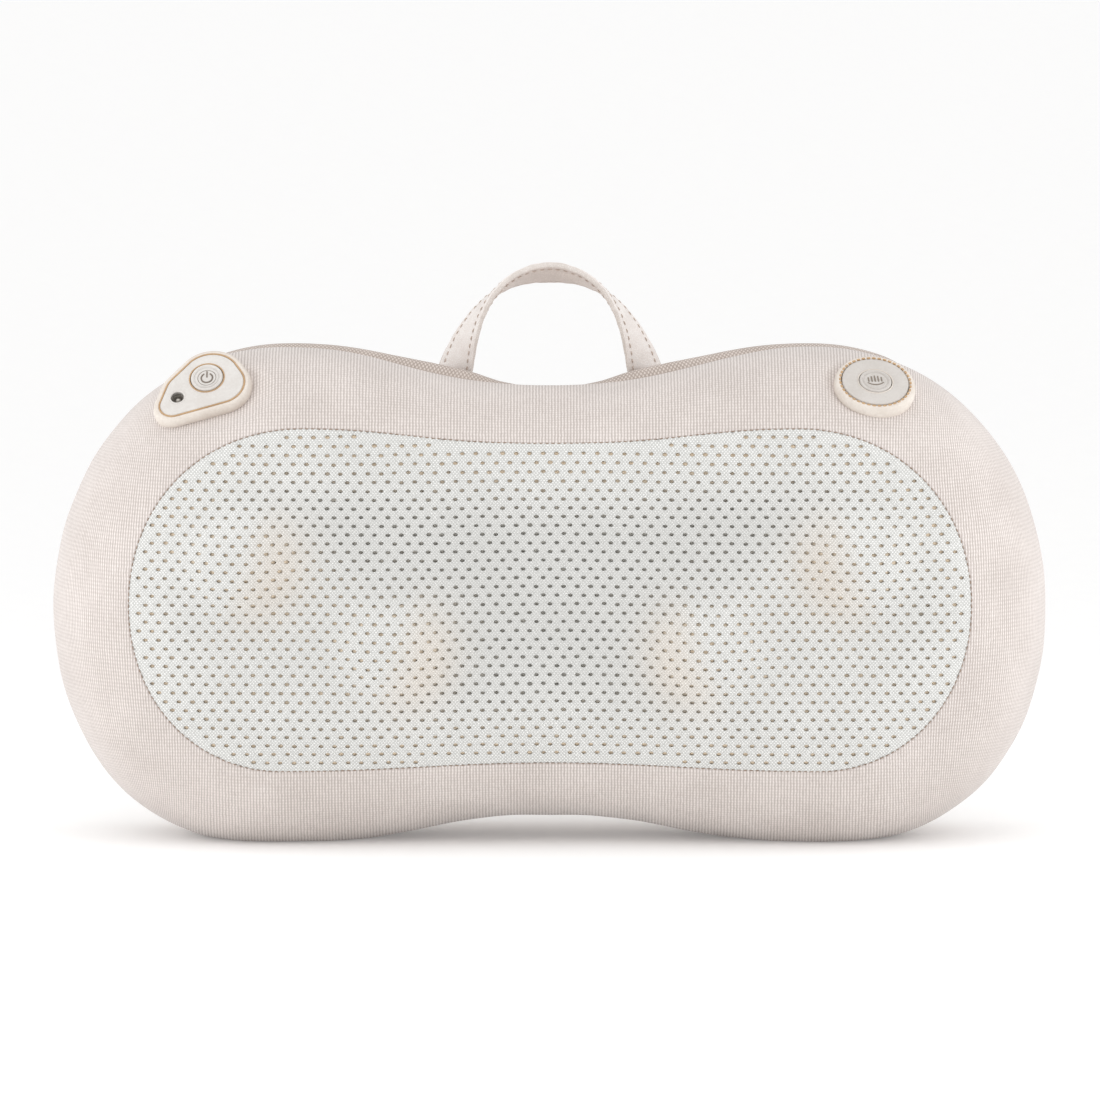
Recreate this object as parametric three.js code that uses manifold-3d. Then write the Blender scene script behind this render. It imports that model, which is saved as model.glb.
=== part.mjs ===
// Shiatsu neck massager: a butterfly-shaped pillow with a mesh window, two control pods, a carry
// handle and, inside, one double-ended motor that turns two pairs of massage heads through worms.
// Millimetres, +Z up, the mesh window faces -Y. The origin is at the middle of the base.

import * as THREE from 'three';
import { mergeVertices } from 'three/addons/utils/BufferGeometryUtils.js';
import Module from 'manifold-3d';

const wasm = await Module();
wasm.setup();

// ---------------------------------------------------------------- driving dimensions

const GAP = 0.3; // clearance between touching pieces

// Widest outline of the pillow, at depth WIDEST_Y: x and z of its turning points, right half.
const WIDEST_Y = 6.5;
const BODY = {
  dip: 173.4, crest: [103, 188.2], side: [190, 88.7], lobe: [104, -4], waist: 8.5,
  upperRound: [0.57, 0.55], lowerRound: [0.6, 0.62],
};
// The seam round the mesh window, and the flat back.
const SEAM = {
  dip: 156.7, crest: [95, 162.9], side: [160.8, 95.2], lobe: [103, 31], waist: 33.5,
  upperRound: [0.55, 0.6], lowerRound: [0.52, 0.62],
};
const BACK_INSET = 38;
const SEAM_DEPTH = 52; // from WIDEST_Y forward to the seam
const SEAM_ANGLE = THREE.MathUtils.degToRad(62); // turn of the surface from the edge to the seam
const CROWN = 10; // rise of the mesh window above its seam
const WAIST_THINNING = 0.12;
const WAIST_WIDTH = 55;
const BACK_DEPTH = 42; // from WIDEST_Y back to the flat back
const MIDDLE = [0, 95];

const FABRIC = 2.5;
const LINING = 1.5;
const LINING_INSET = 3.4;
const FOAM_INSET = 4.5;
const BAND_FRONT = -0.13; // top band, along the section from the edge (0) to the back (-1)
const BAND_REAR = -0.25;
const SEAM_REAR = -0.19; // where front and back covers meet away from the band
const BAND_REACH = [112, 150]; // |x| over which the band narrows to nothing

// Mechanism
const HUB_X = 90.2;
const HUB_Z = 95;
const ARM_RADIUS = 33.6;
const ARM_ANGLE = THREE.MathUtils.degToRad(31);
const HEAD_RADIUS = 19;
const HEAD_TOP = -39;
const HEAD_BASE = -14;
const WORM_MODULE = 1.5;
const WHEEL_TEETH = 28;
const WHEEL_RADIUS = WORM_MODULE * WHEEL_TEETH / 2;
const WORM_RADIUS = 5.5;
const WORM_LENGTH = 19;
const DRIVE_Y = 19;
const DRIVE_Z = HUB_Z + WHEEL_RADIUS + WORM_RADIUS;
const DRIVE_REACH = 112;
const WHEEL_FACE = 6;
const SHAFT_RADIUS = 4;
const DRIVE_RADIUS = 2.5;

// Hard case
const CASE_INSET = 10;
const CASE_WALL = 2.4;
const CASE_FRONT = 4;
const CASE_BACK = 42.4;
const LID_FRONT = 1.2;
const POSTS = [[128, 128], [128, 66]];

// Control pods: where the face's middle lies, its normal's elevation and turn to the side, and
// the face's own roll, in degrees.
const POWER_POD = { x: -131.6, z: 174.8, elevation: 43, sideways: -10, roll: 6 };
const MODE_POD = { x: 123.8, z: 176.2, elevation: 54, sideways: 10, roll: 0 };
const POD_TOP = 3.2;
const POD_DEPTH = 16.6;
const BUTTON_RADIUS = 6.2;
const MODE_FACE_RADIUS = 12.8;
const POD_RIM = 2.4;
const CLAMP_RIM = 1.7;
// Circles whose common hull is the power pod's face: [x, y, radius].
const POWER_FACE = [[2.2, 3.6, 11], [5.5, 1, 9], [-12.8, -8.6, 5]];
const POWER_BUTTON_AT = [1, 3.4];
const SOCKET_AT = [-10.2, -4.8];
const SOCKET_RADIUS = 2.75;

// Carry handle
const HANDLE_Y = 26;
const HANDLE_BASE_Z = 177.2;
const STRAP_WIDTH = 13.4;
const STRAP_THICK = 2.8;
const HANDLE_HALF_SPAN = 36.5;
const HANDLE_TOP_Z = 215.2;
const STRAP_SHOULDER = [[31.9, 193.7], [23.4, HANDLE_TOP_Z]]; // x and z the curve is drawn to
const STRAP_TWIST = THREE.MathUtils.degToRad(132);
const TWIST_POWER = 0.85;
const TWIST_ROUND = 0.08; // share of half the strap over which the twist turns back at the top

// Zip across the back
const ZIP_Z = 52;
const ZIP_HALF = 110;
const ZIP_WIDTH = 22;

// ---------------------------------------------------------------- materials

const material = (color, roughness, metalness = 0) =>
  new THREE.MeshStandardMaterial({ color, roughness, metalness });

const knit = material(0xe2d8d1, 0.95);
const meshFabric = material(0xebe8e3, 0.95);
const lining = material(0xc9bfae, 0.95);
const foam = material(0xd9d6cc, 1);
const tape = material(0xb3a79c, 0.9);
const leather = material(0xe4ddd6, 0.55);
const podPlastic = material(0xdcd4ca, 0.5);
const discPlastic = material(0xc9c0b6, 0.5);
const casePlastic = material(0xbfc2c4, 0.6);
const gearPlastic = material(0xf0efe6, 0.45);
const headPlastic = material(0xd99a6c, 0.6);
const steel = material(0xb4b6b9, 0.3, 1);
const brass = material(0xc8a35a, 0.35, 1);
const black = material(0x222326, 0.6);
const boardGreen = material(0x1f6b45, 0.6);
const batteryBlue = material(0x2c62a8, 0.5);
const red = material(0xb03030, 0.6);

// ---------------------------------------------------------------- general helpers

const model = new THREE.Group();

function add(name, geometry, mat, parent = model) {
  const mesh = new THREE.Mesh(geometry, mat);
  mesh.name = name;
  parent.add(mesh);
  return mesh;
}

function plain(geometry) {
  const bare = geometry.clone();
  bare.deleteAttribute('normal');
  bare.deleteAttribute('uv');
  return mergeVertices(bare, 1e-4);
}

function signedVolume(points, index) {
  let sum = 0;
  for (let i = 0; i < index.length; i += 3) {
    const [a, b, c] = [points[index[i]], points[index[i + 1]], points[index[i + 2]]];
    sum += a.dot(b.clone().cross(c));
  }
  return sum / 6;
}

// A closed geometry from points and triangles, turned so that its faces point out.
function closed(points, index) {
  if (signedVolume(points, index) < 0) index.reverse();
  const geometry = new THREE.BufferGeometry().setFromPoints(points);
  geometry.setIndex(index);
  const tidy = plain(geometry);
  tidy.computeVertexNormals();
  return tidy;
}

// Rings of points joined into a closed surface. With loop the last ring meets the first;
// otherwise each end is closed with a fan about the middle of its ring.
function loft(rings, loop) {
  const count = rings[0].length;
  const points = rings.flat();
  const index = [];
  const spans = loop ? rings.length : rings.length - 1;
  for (let r = 0; r < spans; r++) {
    const next = (r + 1) % rings.length;
    for (let i = 0; i < count; i++) {
      const j = (i + 1) % count;
      index.push(r * count + i, r * count + j, next * count + j);
      index.push(r * count + i, next * count + j, next * count + i);
    }
  }
  if (!loop) {
    for (const [ring, flip] of [[0, true], [rings.length - 1, false]]) {
      const centre = new THREE.Vector3();
      rings[ring].forEach((p) => centre.add(p));
      points.push(centre.divideScalar(count));
      for (let i = 0; i < count; i++) {
        const [a, b] = [ring * count + i, ring * count + (i + 1) % count];
        index.push(...(flip ? [b, a] : [a, b]), points.length - 1);
      }
    }
  }
  return closed(points, index);
}

function toSolid(geometry) {
  const bare = plain(geometry);
  return new wasm.Manifold(new wasm.Mesh({
    numProp: 3,
    vertProperties: new Float32Array(bare.attributes.position.array),
    triVerts: new Uint32Array(bare.index.array),
  }));
}

function fromSolid(solid) {
  const mesh = solid.getMesh();
  const geometry = new THREE.BufferGeometry();
  geometry.setAttribute('position', new THREE.BufferAttribute(mesh.vertProperties, 3));
  geometry.setIndex(new THREE.BufferAttribute(mesh.triVerts, 1));
  geometry.computeVertexNormals();
  return geometry;
}

const cut = (from, ...tools) =>
  fromSolid(tools.reduce((solid, tool) => solid.subtract(toSolid(tool)), toSolid(from)));
const join = (first, ...rest) =>
  fromSolid(rest.reduce((solid, piece) => solid.add(toSolid(piece)), toSolid(first)));

// The same piece on the other side of the plane x = 0.
function mirrored(geometry) {
  const bare = plain(geometry);
  bare.scale(-1, 1, 1);
  bare.index.array.reverse();
  bare.computeVertexNormals();
  return bare;
}

const circle = (x, y, radius, segments = 16) =>
  Array.from({ length: segments }, (_, i) => {
    const a = 2 * Math.PI * i / segments;
    return new THREE.Vector2(x + radius * Math.cos(a), y + radius * Math.sin(a));
  });

// A prism over an outline in x and y, from z = low to z = high, with round holes [x, y, radius].
function prism(outline, low, high, holes = []) {
  const shape = new THREE.Shape(outline);
  holes.forEach(([x, y, r]) => shape.holes.push(new THREE.Path(circle(x, y, r))));
  const geometry = new THREE.ExtrudeGeometry(shape, { depth: high - low, bevelEnabled: false });
  return geometry.translate(0, 0, low);
}

// A prism over an outline in world x and z, from y = front to y = back.
const slab = (outline, front, back, holes = []) =>
  prism(outline, 0, back - front, holes).rotateX(Math.PI / 2).translate(0, back, 0);

// A turned piece about the Y axis, from [radius, y] pairs that end on the axis or close.
function turned(profile, segments = 24) {
  const pairs = profile.map(([r, y]) => new THREE.Vector2(r, y));
  const bare = plain(new THREE.LatheGeometry(pairs, segments));
  const { position } = bare.attributes;
  const points = Array.from({ length: position.count }, (_, i) =>
    new THREE.Vector3().fromBufferAttribute(position, i));
  return closed(points, Array.from(bare.index.array));
}

const ring = (inner, outer, low, high) =>
  [[inner, low], [outer, low], [outer, high], [inner, high], [inner, low]];

const box = (x0, y0, z0, x1, y1, z1) =>
  new THREE.BoxGeometry(Math.abs(x1 - x0), y1 - y0, z1 - z0)
    .translate((x0 + x1) / 2, (y0 + y1) / 2, (z0 + z1) / 2);

// A round tube along a curve through points.
function tube(points, radius, steps, sides) {
  const path = new THREE.CatmullRomCurve3(points.map((p) => new THREE.Vector3(...p)));
  const shape = new THREE.Shape(circle(0, 0, radius, sides));
  return new THREE.ExtrudeGeometry(shape, { steps, extrudePath: path, bevelEnabled: false });
}

// ---------------------------------------------------------------- the pillow's surface

const STEPS = { top: 4, upper: 6, lower: 6, bottom: 4 };

// The right half from the top middle to the bottom middle, then the left half back up.
function outlineOf(shape) {
  const { dip, crest, side, lobe, waist, upperRound, lowerRound } = shape;
  const half = [];
  const stretch = (a, b, c, d, steps) => {
    const curve = new THREE.CubicBezierCurve(
      ...[a, b, c, d].map(([x, z]) => new THREE.Vector2(x, z)));
    half.push(...curve.getPoints(steps).slice(0, -1));
  };
  stretch([0, dip], [crest[0] / 2, dip], [crest[0] * 0.6, crest[1]], crest, STEPS.top);
  stretch(crest, [crest[0] + upperRound[0] * (side[0] - crest[0]), crest[1]],
    [side[0], side[1] + upperRound[1] * (crest[1] - side[1])], side, STEPS.upper);
  stretch(side, [side[0], side[1] - lowerRound[1] * (side[1] - lobe[1])],
    [lobe[0] + lowerRound[0] * (side[0] - lobe[0]), lobe[1]], lobe, STEPS.lower);
  stretch(lobe, [lobe[0] * 0.6, lobe[1]], [lobe[0] * 0.4, waist], [0, waist], STEPS.bottom);
  half.push(new THREE.Vector2(0, waist));
  const left = half.slice(1, -1).reverse().map((p) => new THREE.Vector2(-p.x, p.y));
  return [...half, ...left];
}

// Every point moved inward along its own normal.
function shrunk(outline, distance) {
  return outline.map((p, i) => {
    const before = outline[(i + outline.length - 1) % outline.length];
    const after = outline[(i + 1) % outline.length];
    const along = after.clone().sub(before).normalize();
    return new THREE.Vector2(p.x + along.y * distance, p.y - along.x * distance);
  });
}

const bodyOutline = outlineOf(BODY);
const seamOutline = outlineOf(SEAM);
const backOutline = shrunk(bodyOutline, BACK_INSET);
const COUNT = bodyOutline.length;

const seamDepthAt = (x) =>
  SEAM_DEPTH * (1 - WAIST_THINNING * Math.exp(-((x / WAIST_WIDTH) ** 2)));

// The section runs from the middle of the back (s = -2) over the back's rim (-1), the widest
// edge (0) and the seam (1) to the middle of the mesh window (2). inset goes into the body.
function surfacePoint(i, s, inset) {
  const place = (outline) => shrunk(outline, inset)[i];
  const middle = new THREE.Vector2(...MIDDLE);
  let flat;
  let y;
  if (s >= 1) {
    flat = place(seamOutline).lerp(middle, s - 1);
    y = WIDEST_Y - seamDepthAt(flat.x) + inset - CROWN * (1 - (2 - s) ** 2);
  } else if (s >= 0) {
    const turn = s * SEAM_ANGLE;
    const share = (1 - Math.cos(turn)) / (1 - Math.cos(SEAM_ANGLE));
    flat = place(bodyOutline).lerp(place(seamOutline), share);
    y = WIDEST_Y - (seamDepthAt(flat.x) - inset) * Math.sin(turn) / Math.sin(SEAM_ANGLE);
  } else if (s >= -1) {
    const turn = -s * Math.PI / 2;
    flat = place(bodyOutline).lerp(place(backOutline), 1 - Math.cos(turn));
    y = WIDEST_Y + (BACK_DEPTH - inset) * Math.sin(turn);
  } else {
    flat = place(backOutline).lerp(middle, -1 - s);
    y = WIDEST_Y + BACK_DEPTH - inset;
  }
  return new THREE.Vector3(flat.x, y, Math.max(flat.y, inset));
}

const ringAt = (s, inset) =>
  Array.from({ length: COUNT }, (_, i) =>
    surfacePoint(i, typeof s === 'function' ? s(i) : s, inset));

// How much of the top band there is at each point of the outline, from 0 to 1.
function bandShare(i) {
  const { x, y: z } = bodyOutline[i];
  const [full, none] = BAND_REACH;
  return z < MIDDLE[1] ? 0 : 1 - THREE.MathUtils.smoothstep(Math.abs(x), full, none);
}
const bandEdge = (edge, gap) => (i) =>
  THREE.MathUtils.lerp(SEAM_REAR, edge, bandShare(i)) + gap;

// A skin of the body between two insets, over a list of section stations.
const skinRings = (stations, outer, inner) => [
  ...stations.map((s) => ringAt(s, outer)),
  ...stations.slice().reverse().map((s) => ringAt(s, inner)),
];

// ---------------------------------------------------------------- pod frames

const posedPod = ({ x, z, elevation, sideways, roll }) => {
  const tilt = THREE.MathUtils.degToRad(elevation);
  const turn = THREE.MathUtils.degToRad(sideways);
  const normal = new THREE.Vector3(
    Math.sin(turn) * Math.cos(tilt), -Math.cos(turn) * Math.cos(tilt), Math.sin(tilt));
  const across = new THREE.Vector3(0, 0, 1).cross(normal).normalize()
    .applyAxisAngle(normal, THREE.MathUtils.degToRad(roll));
  const up = normal.clone().cross(across);
  const pod = new THREE.Group();
  pod.matrix.makeBasis(across, up, normal).setPosition(x, frontDepth(x, z), z);
  pod.matrix.decompose(pod.position, pod.quaternion, pod.scale);
  return pod;
};

// Depth of the outer surface of the front at a place in the front view.
function frontDepth(x, z) {
  let [outside, inside] = [0, 2];
  for (let step = 0; step < 24; step++) {
    const s = (outside + inside) / 2;
    const flat = ringAt(s, 0).map((p) => new THREE.Vector2(p.x, p.z));
    if (contains(flat, x, z)) outside = s;
    else inside = s;
  }
  const reach = ringAt(outside, 0);
  const nearest = reach.reduce((best, p) =>
    (Math.hypot(p.x - x, p.z - z) < Math.hypot(best.x - x, best.z - z) ? p : best));
  return nearest.y;
}

function contains(outline, x, z) {
  let inside = false;
  outline.forEach((a, i) => {
    const b = outline[(i + 1) % outline.length];
    if ((a.y > z) !== (b.y > z) && x < a.x + (b.x - a.x) * (z - a.y) / (b.y - a.y)) {
      inside = !inside;
    }
  });
  return inside;
}

// Convex hull of circles [x, y, radius], each grown by a margin.
function hullOf(circles, margin) {
  const points = circles.flatMap(([x, y, r]) => circle(x, y, r + margin, 24));
  points.sort((a, b) => a.x - b.x || a.y - b.y);
  const turnOf = (o, a, b) => (a.x - o.x) * (b.y - o.y) - (a.y - o.y) * (b.x - o.x);
  const chain = (list) => {
    const kept = [];
    for (const p of list) {
      while (kept.length > 1 && turnOf(kept.at(-2), kept.at(-1), p) <= 1e-6) kept.pop();
      kept.push(p);
    }
    return kept.slice(0, -1);
  };
  return [...chain(points), ...chain(points.slice().reverse())];
}

const powerPod = posedPod(POWER_POD);
const modePod = posedPod(MODE_POD);
const powerOutline = (margin) => hullOf(POWER_FACE, margin);
const modeOutline = (margin) => circle(0, 0, MODE_FACE_RADIUS + margin, 24);

const POD_PARTS = [
  { pod: powerPod, outline: powerOutline, colour: podPlastic, name: 'power' },
  { pod: modePod, outline: modeOutline, colour: discPlastic, name: 'mode' },
];

const podTool = (pod, outline, low, high) => prism(outline, low, high).applyMatrix4(pod.matrix);

// Where a pod's lead leaves it, in the body's frame.
const podPoint = (pod, x, y, z) => new THREE.Vector3(x, y, z).applyMatrix4(pod.matrix).toArray();

const LEAD_RADIUS = 1.4;
const LEAD_TUNNEL = 2.4;
const leadRoute = (pod, side) => [
  podPoint(pod, 0, -1, -POD_DEPTH + 3), podPoint(pod, 0, -1, -POD_DEPTH - 5),
  [side * 110, 16, 147], [side * 92, 33, 139], [side * 56, 33, 104],
  [side * 44, 20, 82], [side * 40.5, 16.4, 76.4], [side * 37, 16.2, 76],
];

// ---------------------------------------------------------------- soft body

function buildSoftBody() {
  const podHoles = POD_PARTS.map(({ pod, outline }) =>
    podTool(pod, outline(POD_RIM + GAP), -POD_DEPTH - 4, POD_DEPTH));
  const podPockets = POD_PARTS.map(({ pod, outline }) =>
    podTool(pod, outline(POD_RIM + CLAMP_RIM + 0.5), -POD_DEPTH - 5.5, POD_DEPTH));
  const tunnels = [[powerPod, -1], [modePod, 1]].map(([pod, side]) =>
    tube(leadRoute(pod, side).slice(1, 3), LEAD_TUNNEL + 2.6, 1, 8));

  const frontStations = [0.995, 0.75, 0.5, 0.25, 0, bandEdge(BAND_FRONT, 0.004)];
  const front = loft(skinRings(frontStations, 0, FABRIC), true);
  add('front_cover', cut(front, ...podHoles), knit);

  const windowStations = [1.006, 1.16, 1.5];
  const windowRings = (outer, inner) => skinRings(windowStations, outer, inner).reverse();
  const inOrder = (rings) => [...rings.slice(rings.length / 2), ...rings.slice(0, rings.length / 2)];
  add('mesh_panel', loft(inOrder(windowRings(0, FABRIC)), false), meshFabric);
  add('inner_lining',
    loft(inOrder(windowRings(LINING_INSET, LINING_INSET + LINING)), false), lining);

  const backStations = [bandEdge(BAND_REAR, -0.004), -0.45, -0.7, -1];
  const backRings = skinRings(backStations, 0, FABRIC).reverse();
  add('back_cover', loft(inOrder(backRings), false), knit);

  add('top_band', bandGeometry(), tape);

  const foamStations = [0.93, 0.68, 0.35, 0, -0.35, -0.7];
  const inner = shrunk(seamOutline, 2.5);
  const wall = (y) => inner.map((p) => new THREE.Vector3(p.x, y, p.y));
  const foamRings = [...foamStations.map((s) => ringAt(s, FOAM_INSET)), wall(38), wall(-30)];
  add('foam_surround', cut(loft(foamRings, true), ...podPockets, ...tunnels), foam);

  const pad = shrunk(backOutline, 6);
  add('rear_foam_pad', slab(pad, CASE_BACK + GAP, CASE_BACK + GAP + 2.4), foam);
}

// The taupe tape that fills the gap between the covers along the top.
function bandGeometry() {
  const indices = Array.from({ length: COUNT }, (_, i) => i)
    .filter((i) => bandShare(i) > 0.25)
    .sort((a, b) => bodyOutline[a].x - bodyOutline[b].x);
  const sections = indices.map((i) => {
    const front = bandEdge(BAND_FRONT, -0.006)(i);
    const rear = bandEdge(BAND_REAR, 0.006)(i);
    const middle = (front + rear) / 2;
    return [[front, 0], [middle, 0], [rear, 0], [rear, FABRIC], [middle, FABRIC], [front, FABRIC]]
      .map(([s, inset]) => surfacePoint(i, s, inset));
  });
  return loft(sections, false);
}

// ---------------------------------------------------------------- zip across the back

function buildZip() {
  const back = WIDEST_Y + BACK_DEPTH;
  const middle = ZIP_Z;
  const strip = hullOf([[-ZIP_HALF, middle, 3], [ZIP_HALF, middle, 3]], ZIP_WIDTH / 2 - 3);
  add('zip_tape', slab(strip, back + 0.2, back + 1), tape);
  const slider = new THREE.Group();
  slider.position.set(-ZIP_HALF + 8, back + 1.3, middle);
  const shell = hullOf([[-3.4, 0, 2.6], [3.4, 0, 1.6]], 0);
  add('zip_slider', slab(shell, 0, 1.7), steel, slider);
  const tab = hullOf([[-3, 0, 1.8], [-15, 0, 2.6]], 0);
  add('zip_pull', slab(tab, 2, 2.8, [[-14.6, 0, 1.3]]), steel, slider);
  model.add(slider);
}

// ---------------------------------------------------------------- carry handle

// Middle line of the strap from the left leg (-1) over the top (0) to the right leg (1).
function handleLine(t) {
  const points = [[HANDLE_HALF_SPAN, HANDLE_BASE_Z], ...STRAP_SHOULDER, [0, HANDLE_TOP_Z]];
  const half = new THREE.CubicBezierCurve(...points.map(([x, z]) => new THREE.Vector2(x, z)));
  const { x, y: z } = half.getPoint(1 - Math.abs(t));
  return new THREE.Vector3(Math.sign(t) * x, HANDLE_Y, z);
}

function buildHandle() {
  const steps = 24;
  const sections = [];
  for (let k = 0; k <= steps; k++) {
    const t = THREE.MathUtils.lerp(-0.985, 0.985, k / steps);
    const step = 0.01;
    const along = handleLine(t + step).sub(handleLine(t - step)).normalize();
    const outward = along.clone().cross(new THREE.Vector3(0, 1, 0)).normalize();
    const risen = Math.max(0, 1 - Math.hypot(t, TWIST_ROUND));
    const turn = STRAP_TWIST * risen ** TWIST_POWER;
    const face = new THREE.Vector3(0, -Math.cos(turn), 0).addScaledVector(outward, Math.sin(turn));
    const width = along.clone().cross(face).normalize();
    const centre = handleLine(t);
    const [w, h] = [STRAP_WIDTH / 2, STRAP_THICK / 2];
    sections.push([[-w, 0], [-w + 0.8, h], [w - 0.8, h], [w, 0], [w - 0.8, -h], [-w + 0.8, -h]]
      .map(([a, b]) => centre.clone().addScaledVector(width, a).addScaledVector(face, b)));
  }
  add('carry_handle', loft(sections, false), leather);

  for (const [name, side] of [['left_handle_anchor', -1], ['right_handle_anchor', 1]]) {
    const middle = side * HANDLE_HALF_SPAN;
    const tab = [[-1, 0], [1, 0], [1, 1], [-1, 1]].map(([a, b]) =>
      new THREE.Vector2(middle + a * STRAP_WIDTH / 2, b * 11));
    const patch = prism(tab, 0, 1.6).rotateX(-Math.PI * 0.27);
    add(name, patch.translate(0, HANDLE_Y + 4.2, HANDLE_BASE_Z - 1.6), leather);
  }
}

// ---------------------------------------------------------------- control pods

function buildPod({ pod, outline, colour, name }, button, holes) {
  const cup = cut(prism(outline(POD_RIM), -POD_DEPTH, POD_TOP),
    prism(outline(GAP), 1, POD_TOP + 1), prism(outline(-1.1), -POD_DEPTH + 2, 2),
    prism(circle(0, -1, LEAD_TUNNEL), -POD_DEPTH - 1, 0));
  add(`${name}_pod_housing`, cup, podPlastic, pod);

  const openings = [[...button, BUTTON_RADIUS + GAP], ...holes];
  add(`${name}_pod_faceplate`, prism(outline(0), 1 + GAP, POD_TOP + 0.4, openings), colour, pod);

  const cap = turned([[0, -0.6], [BUTTON_RADIUS + 1, -0.6], [BUTTON_RADIUS + 1, 0.8],
    [BUTTON_RADIUS, 0.8], [BUTTON_RADIUS, POD_TOP + 0.5], [BUTTON_RADIUS - 0.6, POD_TOP + 1.1],
    [0, POD_TOP + 1.1]], 16);
  add(`${name}_button`, cap.rotateX(Math.PI / 2).translate(...button, 0), colour, pod);

  const clampRing = prism(outline(POD_RIM + CLAMP_RIM), -POD_DEPTH + 0.4, -POD_DEPTH + 2);
  const clampHole = prism(outline(POD_RIM + GAP), -POD_DEPTH, 0);
  add(`${name}_pod_clamp`, cut(clampRing, clampHole), casePlastic, pod);

  const [x, y] = button;
  add(`${name}_switch`, join(box(x - 3, y - 3, -6.5, x + 3, y + 3, -3),
    box(x - 1.5, y - 1.5, -4, x + 1.5, y + 1.5, -1.9)), black, pod);
  model.add(pod);
}

function buildPods() {
  buildPod(POD_PARTS[0], POWER_BUTTON_AT, [[...SOCKET_AT, SOCKET_RADIUS]]);
  buildPod(POD_PARTS[1], [0, 0], []);
  const [x, y] = SOCKET_AT;
  const low = -6.8;
  const barrel = turned([[0, low], [SOCKET_RADIUS + 0.5, low], [SOCKET_RADIUS + 0.5, 0.9],
    [SOCKET_RADIUS, 0.9], [SOCKET_RADIUS, low + 1], [0, low + 1]], 16);
  add('charging_socket', barrel.rotateX(Math.PI / 2).translate(x, y, 0), black, powerPod);
  const pin = turned([[0, low + 1.3], [1, low + 1.3], [1, 1.2], [0.6, 1.8], [0, 1.8]], 12);
  add('charging_pin', pin.rotateX(Math.PI / 2).translate(x, y, 0), steel, powerPod);
}

// ---------------------------------------------------------------- hard case

function buildCase() {
  const outline = shrunk(seamOutline, CASE_INSET);
  const cavity = shrunk(seamOutline, CASE_INSET + CASE_WALL);
  const posts = POSTS.flatMap(([x, z]) => [[x, z], [-x, z]]);
  const shafts = [[HUB_X, HUB_Z], [-HUB_X, HUB_Z]];
  const floor = CASE_BACK - CASE_WALL;

  const additions = [
    ...posts.map(([x, z]) => slab(circle(x, z, 4.5), CASE_FRONT + 1, floor + 1)),
    ...shafts.map(([x, z]) => slab(circle(x, z, 8), 27, floor + 1)),
    ...[-1, 1].map((side) => box(side * 108.5 - 2.5, 25.3, DRIVE_Z - 6,
      side * 108.5 + 2.5, floor + 1, DRIVE_Z + 6)),
  ];
  const removals = [
    ...posts.map(([x, z]) => slab(circle(x, z, 1.7), 20, CASE_BACK + 1)),
    ...posts.map(([x, z]) => slab(circle(x, z, 3.5), 38, CASE_BACK + 1)),
    ...shafts.map(([x, z]) => slab(circle(x, z, SHAFT_RADIUS + GAP), 20, floor - 1)),
    ...[-1, 1].map((side) => box(side * 118, CASE_FRONT - 1, 136, side * 106, 22, 160)),
  ];
  const tray = cut(slab(outline, CASE_FRONT, CASE_BACK), slab(cavity, CASE_FRONT - 1, floor));
  add('housing_rear', cut(join(tray, ...additions), ...removals), casePlastic);

  const lidHoles = shafts.map(([x, z]) => [x, z, 9]);
  add('housing_front', slab(outline, LID_FRONT, CASE_FRONT - GAP, lidHoles), casePlastic);

  posts.forEach(([x, z], k) => {
    const screw = turned([[0, 24], [1.3, 24], [1.3, 38.3], [3, 38.3], [3, 40.4], [1.2, 40.8],
      [0, 40.8]], 10);
    add(`housing_screw_${k + 1}`, screw.translate(x, 0, z), steel);
  });
}

// ---------------------------------------------------------------- motor and worms

const alongX = (profile, segments) => turned(profile, segments).rotateZ(-Math.PI / 2);

// A right-hand worm about the X axis, with a gap of its thread below its middle.
function wormGeometry() {
  const pitch = Math.PI * WORM_MODULE;
  const around = 12;
  const slope = Math.tan(THREE.MathUtils.degToRad(20));
  const [crest, root] = [WORM_RADIUS + WORM_MODULE, WORM_RADIUS - 1.9];
  const crestHalf = pitch / 4 - 0.15 - (crest - WORM_RADIUS) * slope;
  const rootHalf = pitch / 4 - 0.15 + (WORM_RADIUS - root) * slope;
  const corners = [[-rootHalf, root], [-crestHalf, crest], [crestHalf, crest], [rootHalf, root]];
  const end = WORM_LENGTH / 2;
  const turns = Math.ceil(WORM_LENGTH / pitch / 2) + 1;
  const rings = [];
  for (let k = -turns; k <= turns; k++) {
    for (const [shift, radius] of corners) {
      rings.push(Array.from({ length: around }, (_, j) => {
        const share = j / around;
        const angle = 2 * Math.PI * share - Math.PI / 2;
        const x = (k + 0.5 + share) * pitch + shift;
        const held = THREE.MathUtils.clamp(x, -end, end);
        const r = held === x ? radius : root;
        return new THREE.Vector3(held, r * Math.cos(angle), r * Math.sin(angle));
      }));
    }
  }
  return stitchHelix(rings, around);
}

// Closes rings whose points climb one pitch, that is four rings, in a turn.
function stitchHelix(rings, around) {
  const points = rings.flat();
  const index = [];
  const at = (r, j) => (j < around ? r * around + j : (r + 4) * around);
  for (let r = 0; r < rings.length - 5; r++) {
    for (let j = 0; j < around; j++) {
      index.push(at(r, j), at(r, j + 1), at(r + 1, j + 1));
      index.push(at(r, j), at(r + 1, j + 1), at(r + 1, j));
    }
  }
  const [first, last] = [points[0], points.at(-1)];
  for (const [r, x, flip] of [[0, first.x, true], [rings.length - 5, last.x, false]]) {
    points.push(new THREE.Vector3(x, 0, 0));
    const hub = points.length - 1;
    for (let j = 0; j < around; j++) {
      const pair = [at(r, j), at(r, j + 1)];
      index.push(...(flip ? pair.reverse() : pair), hub);
    }
  }
  return closed(points, index);
}

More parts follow.
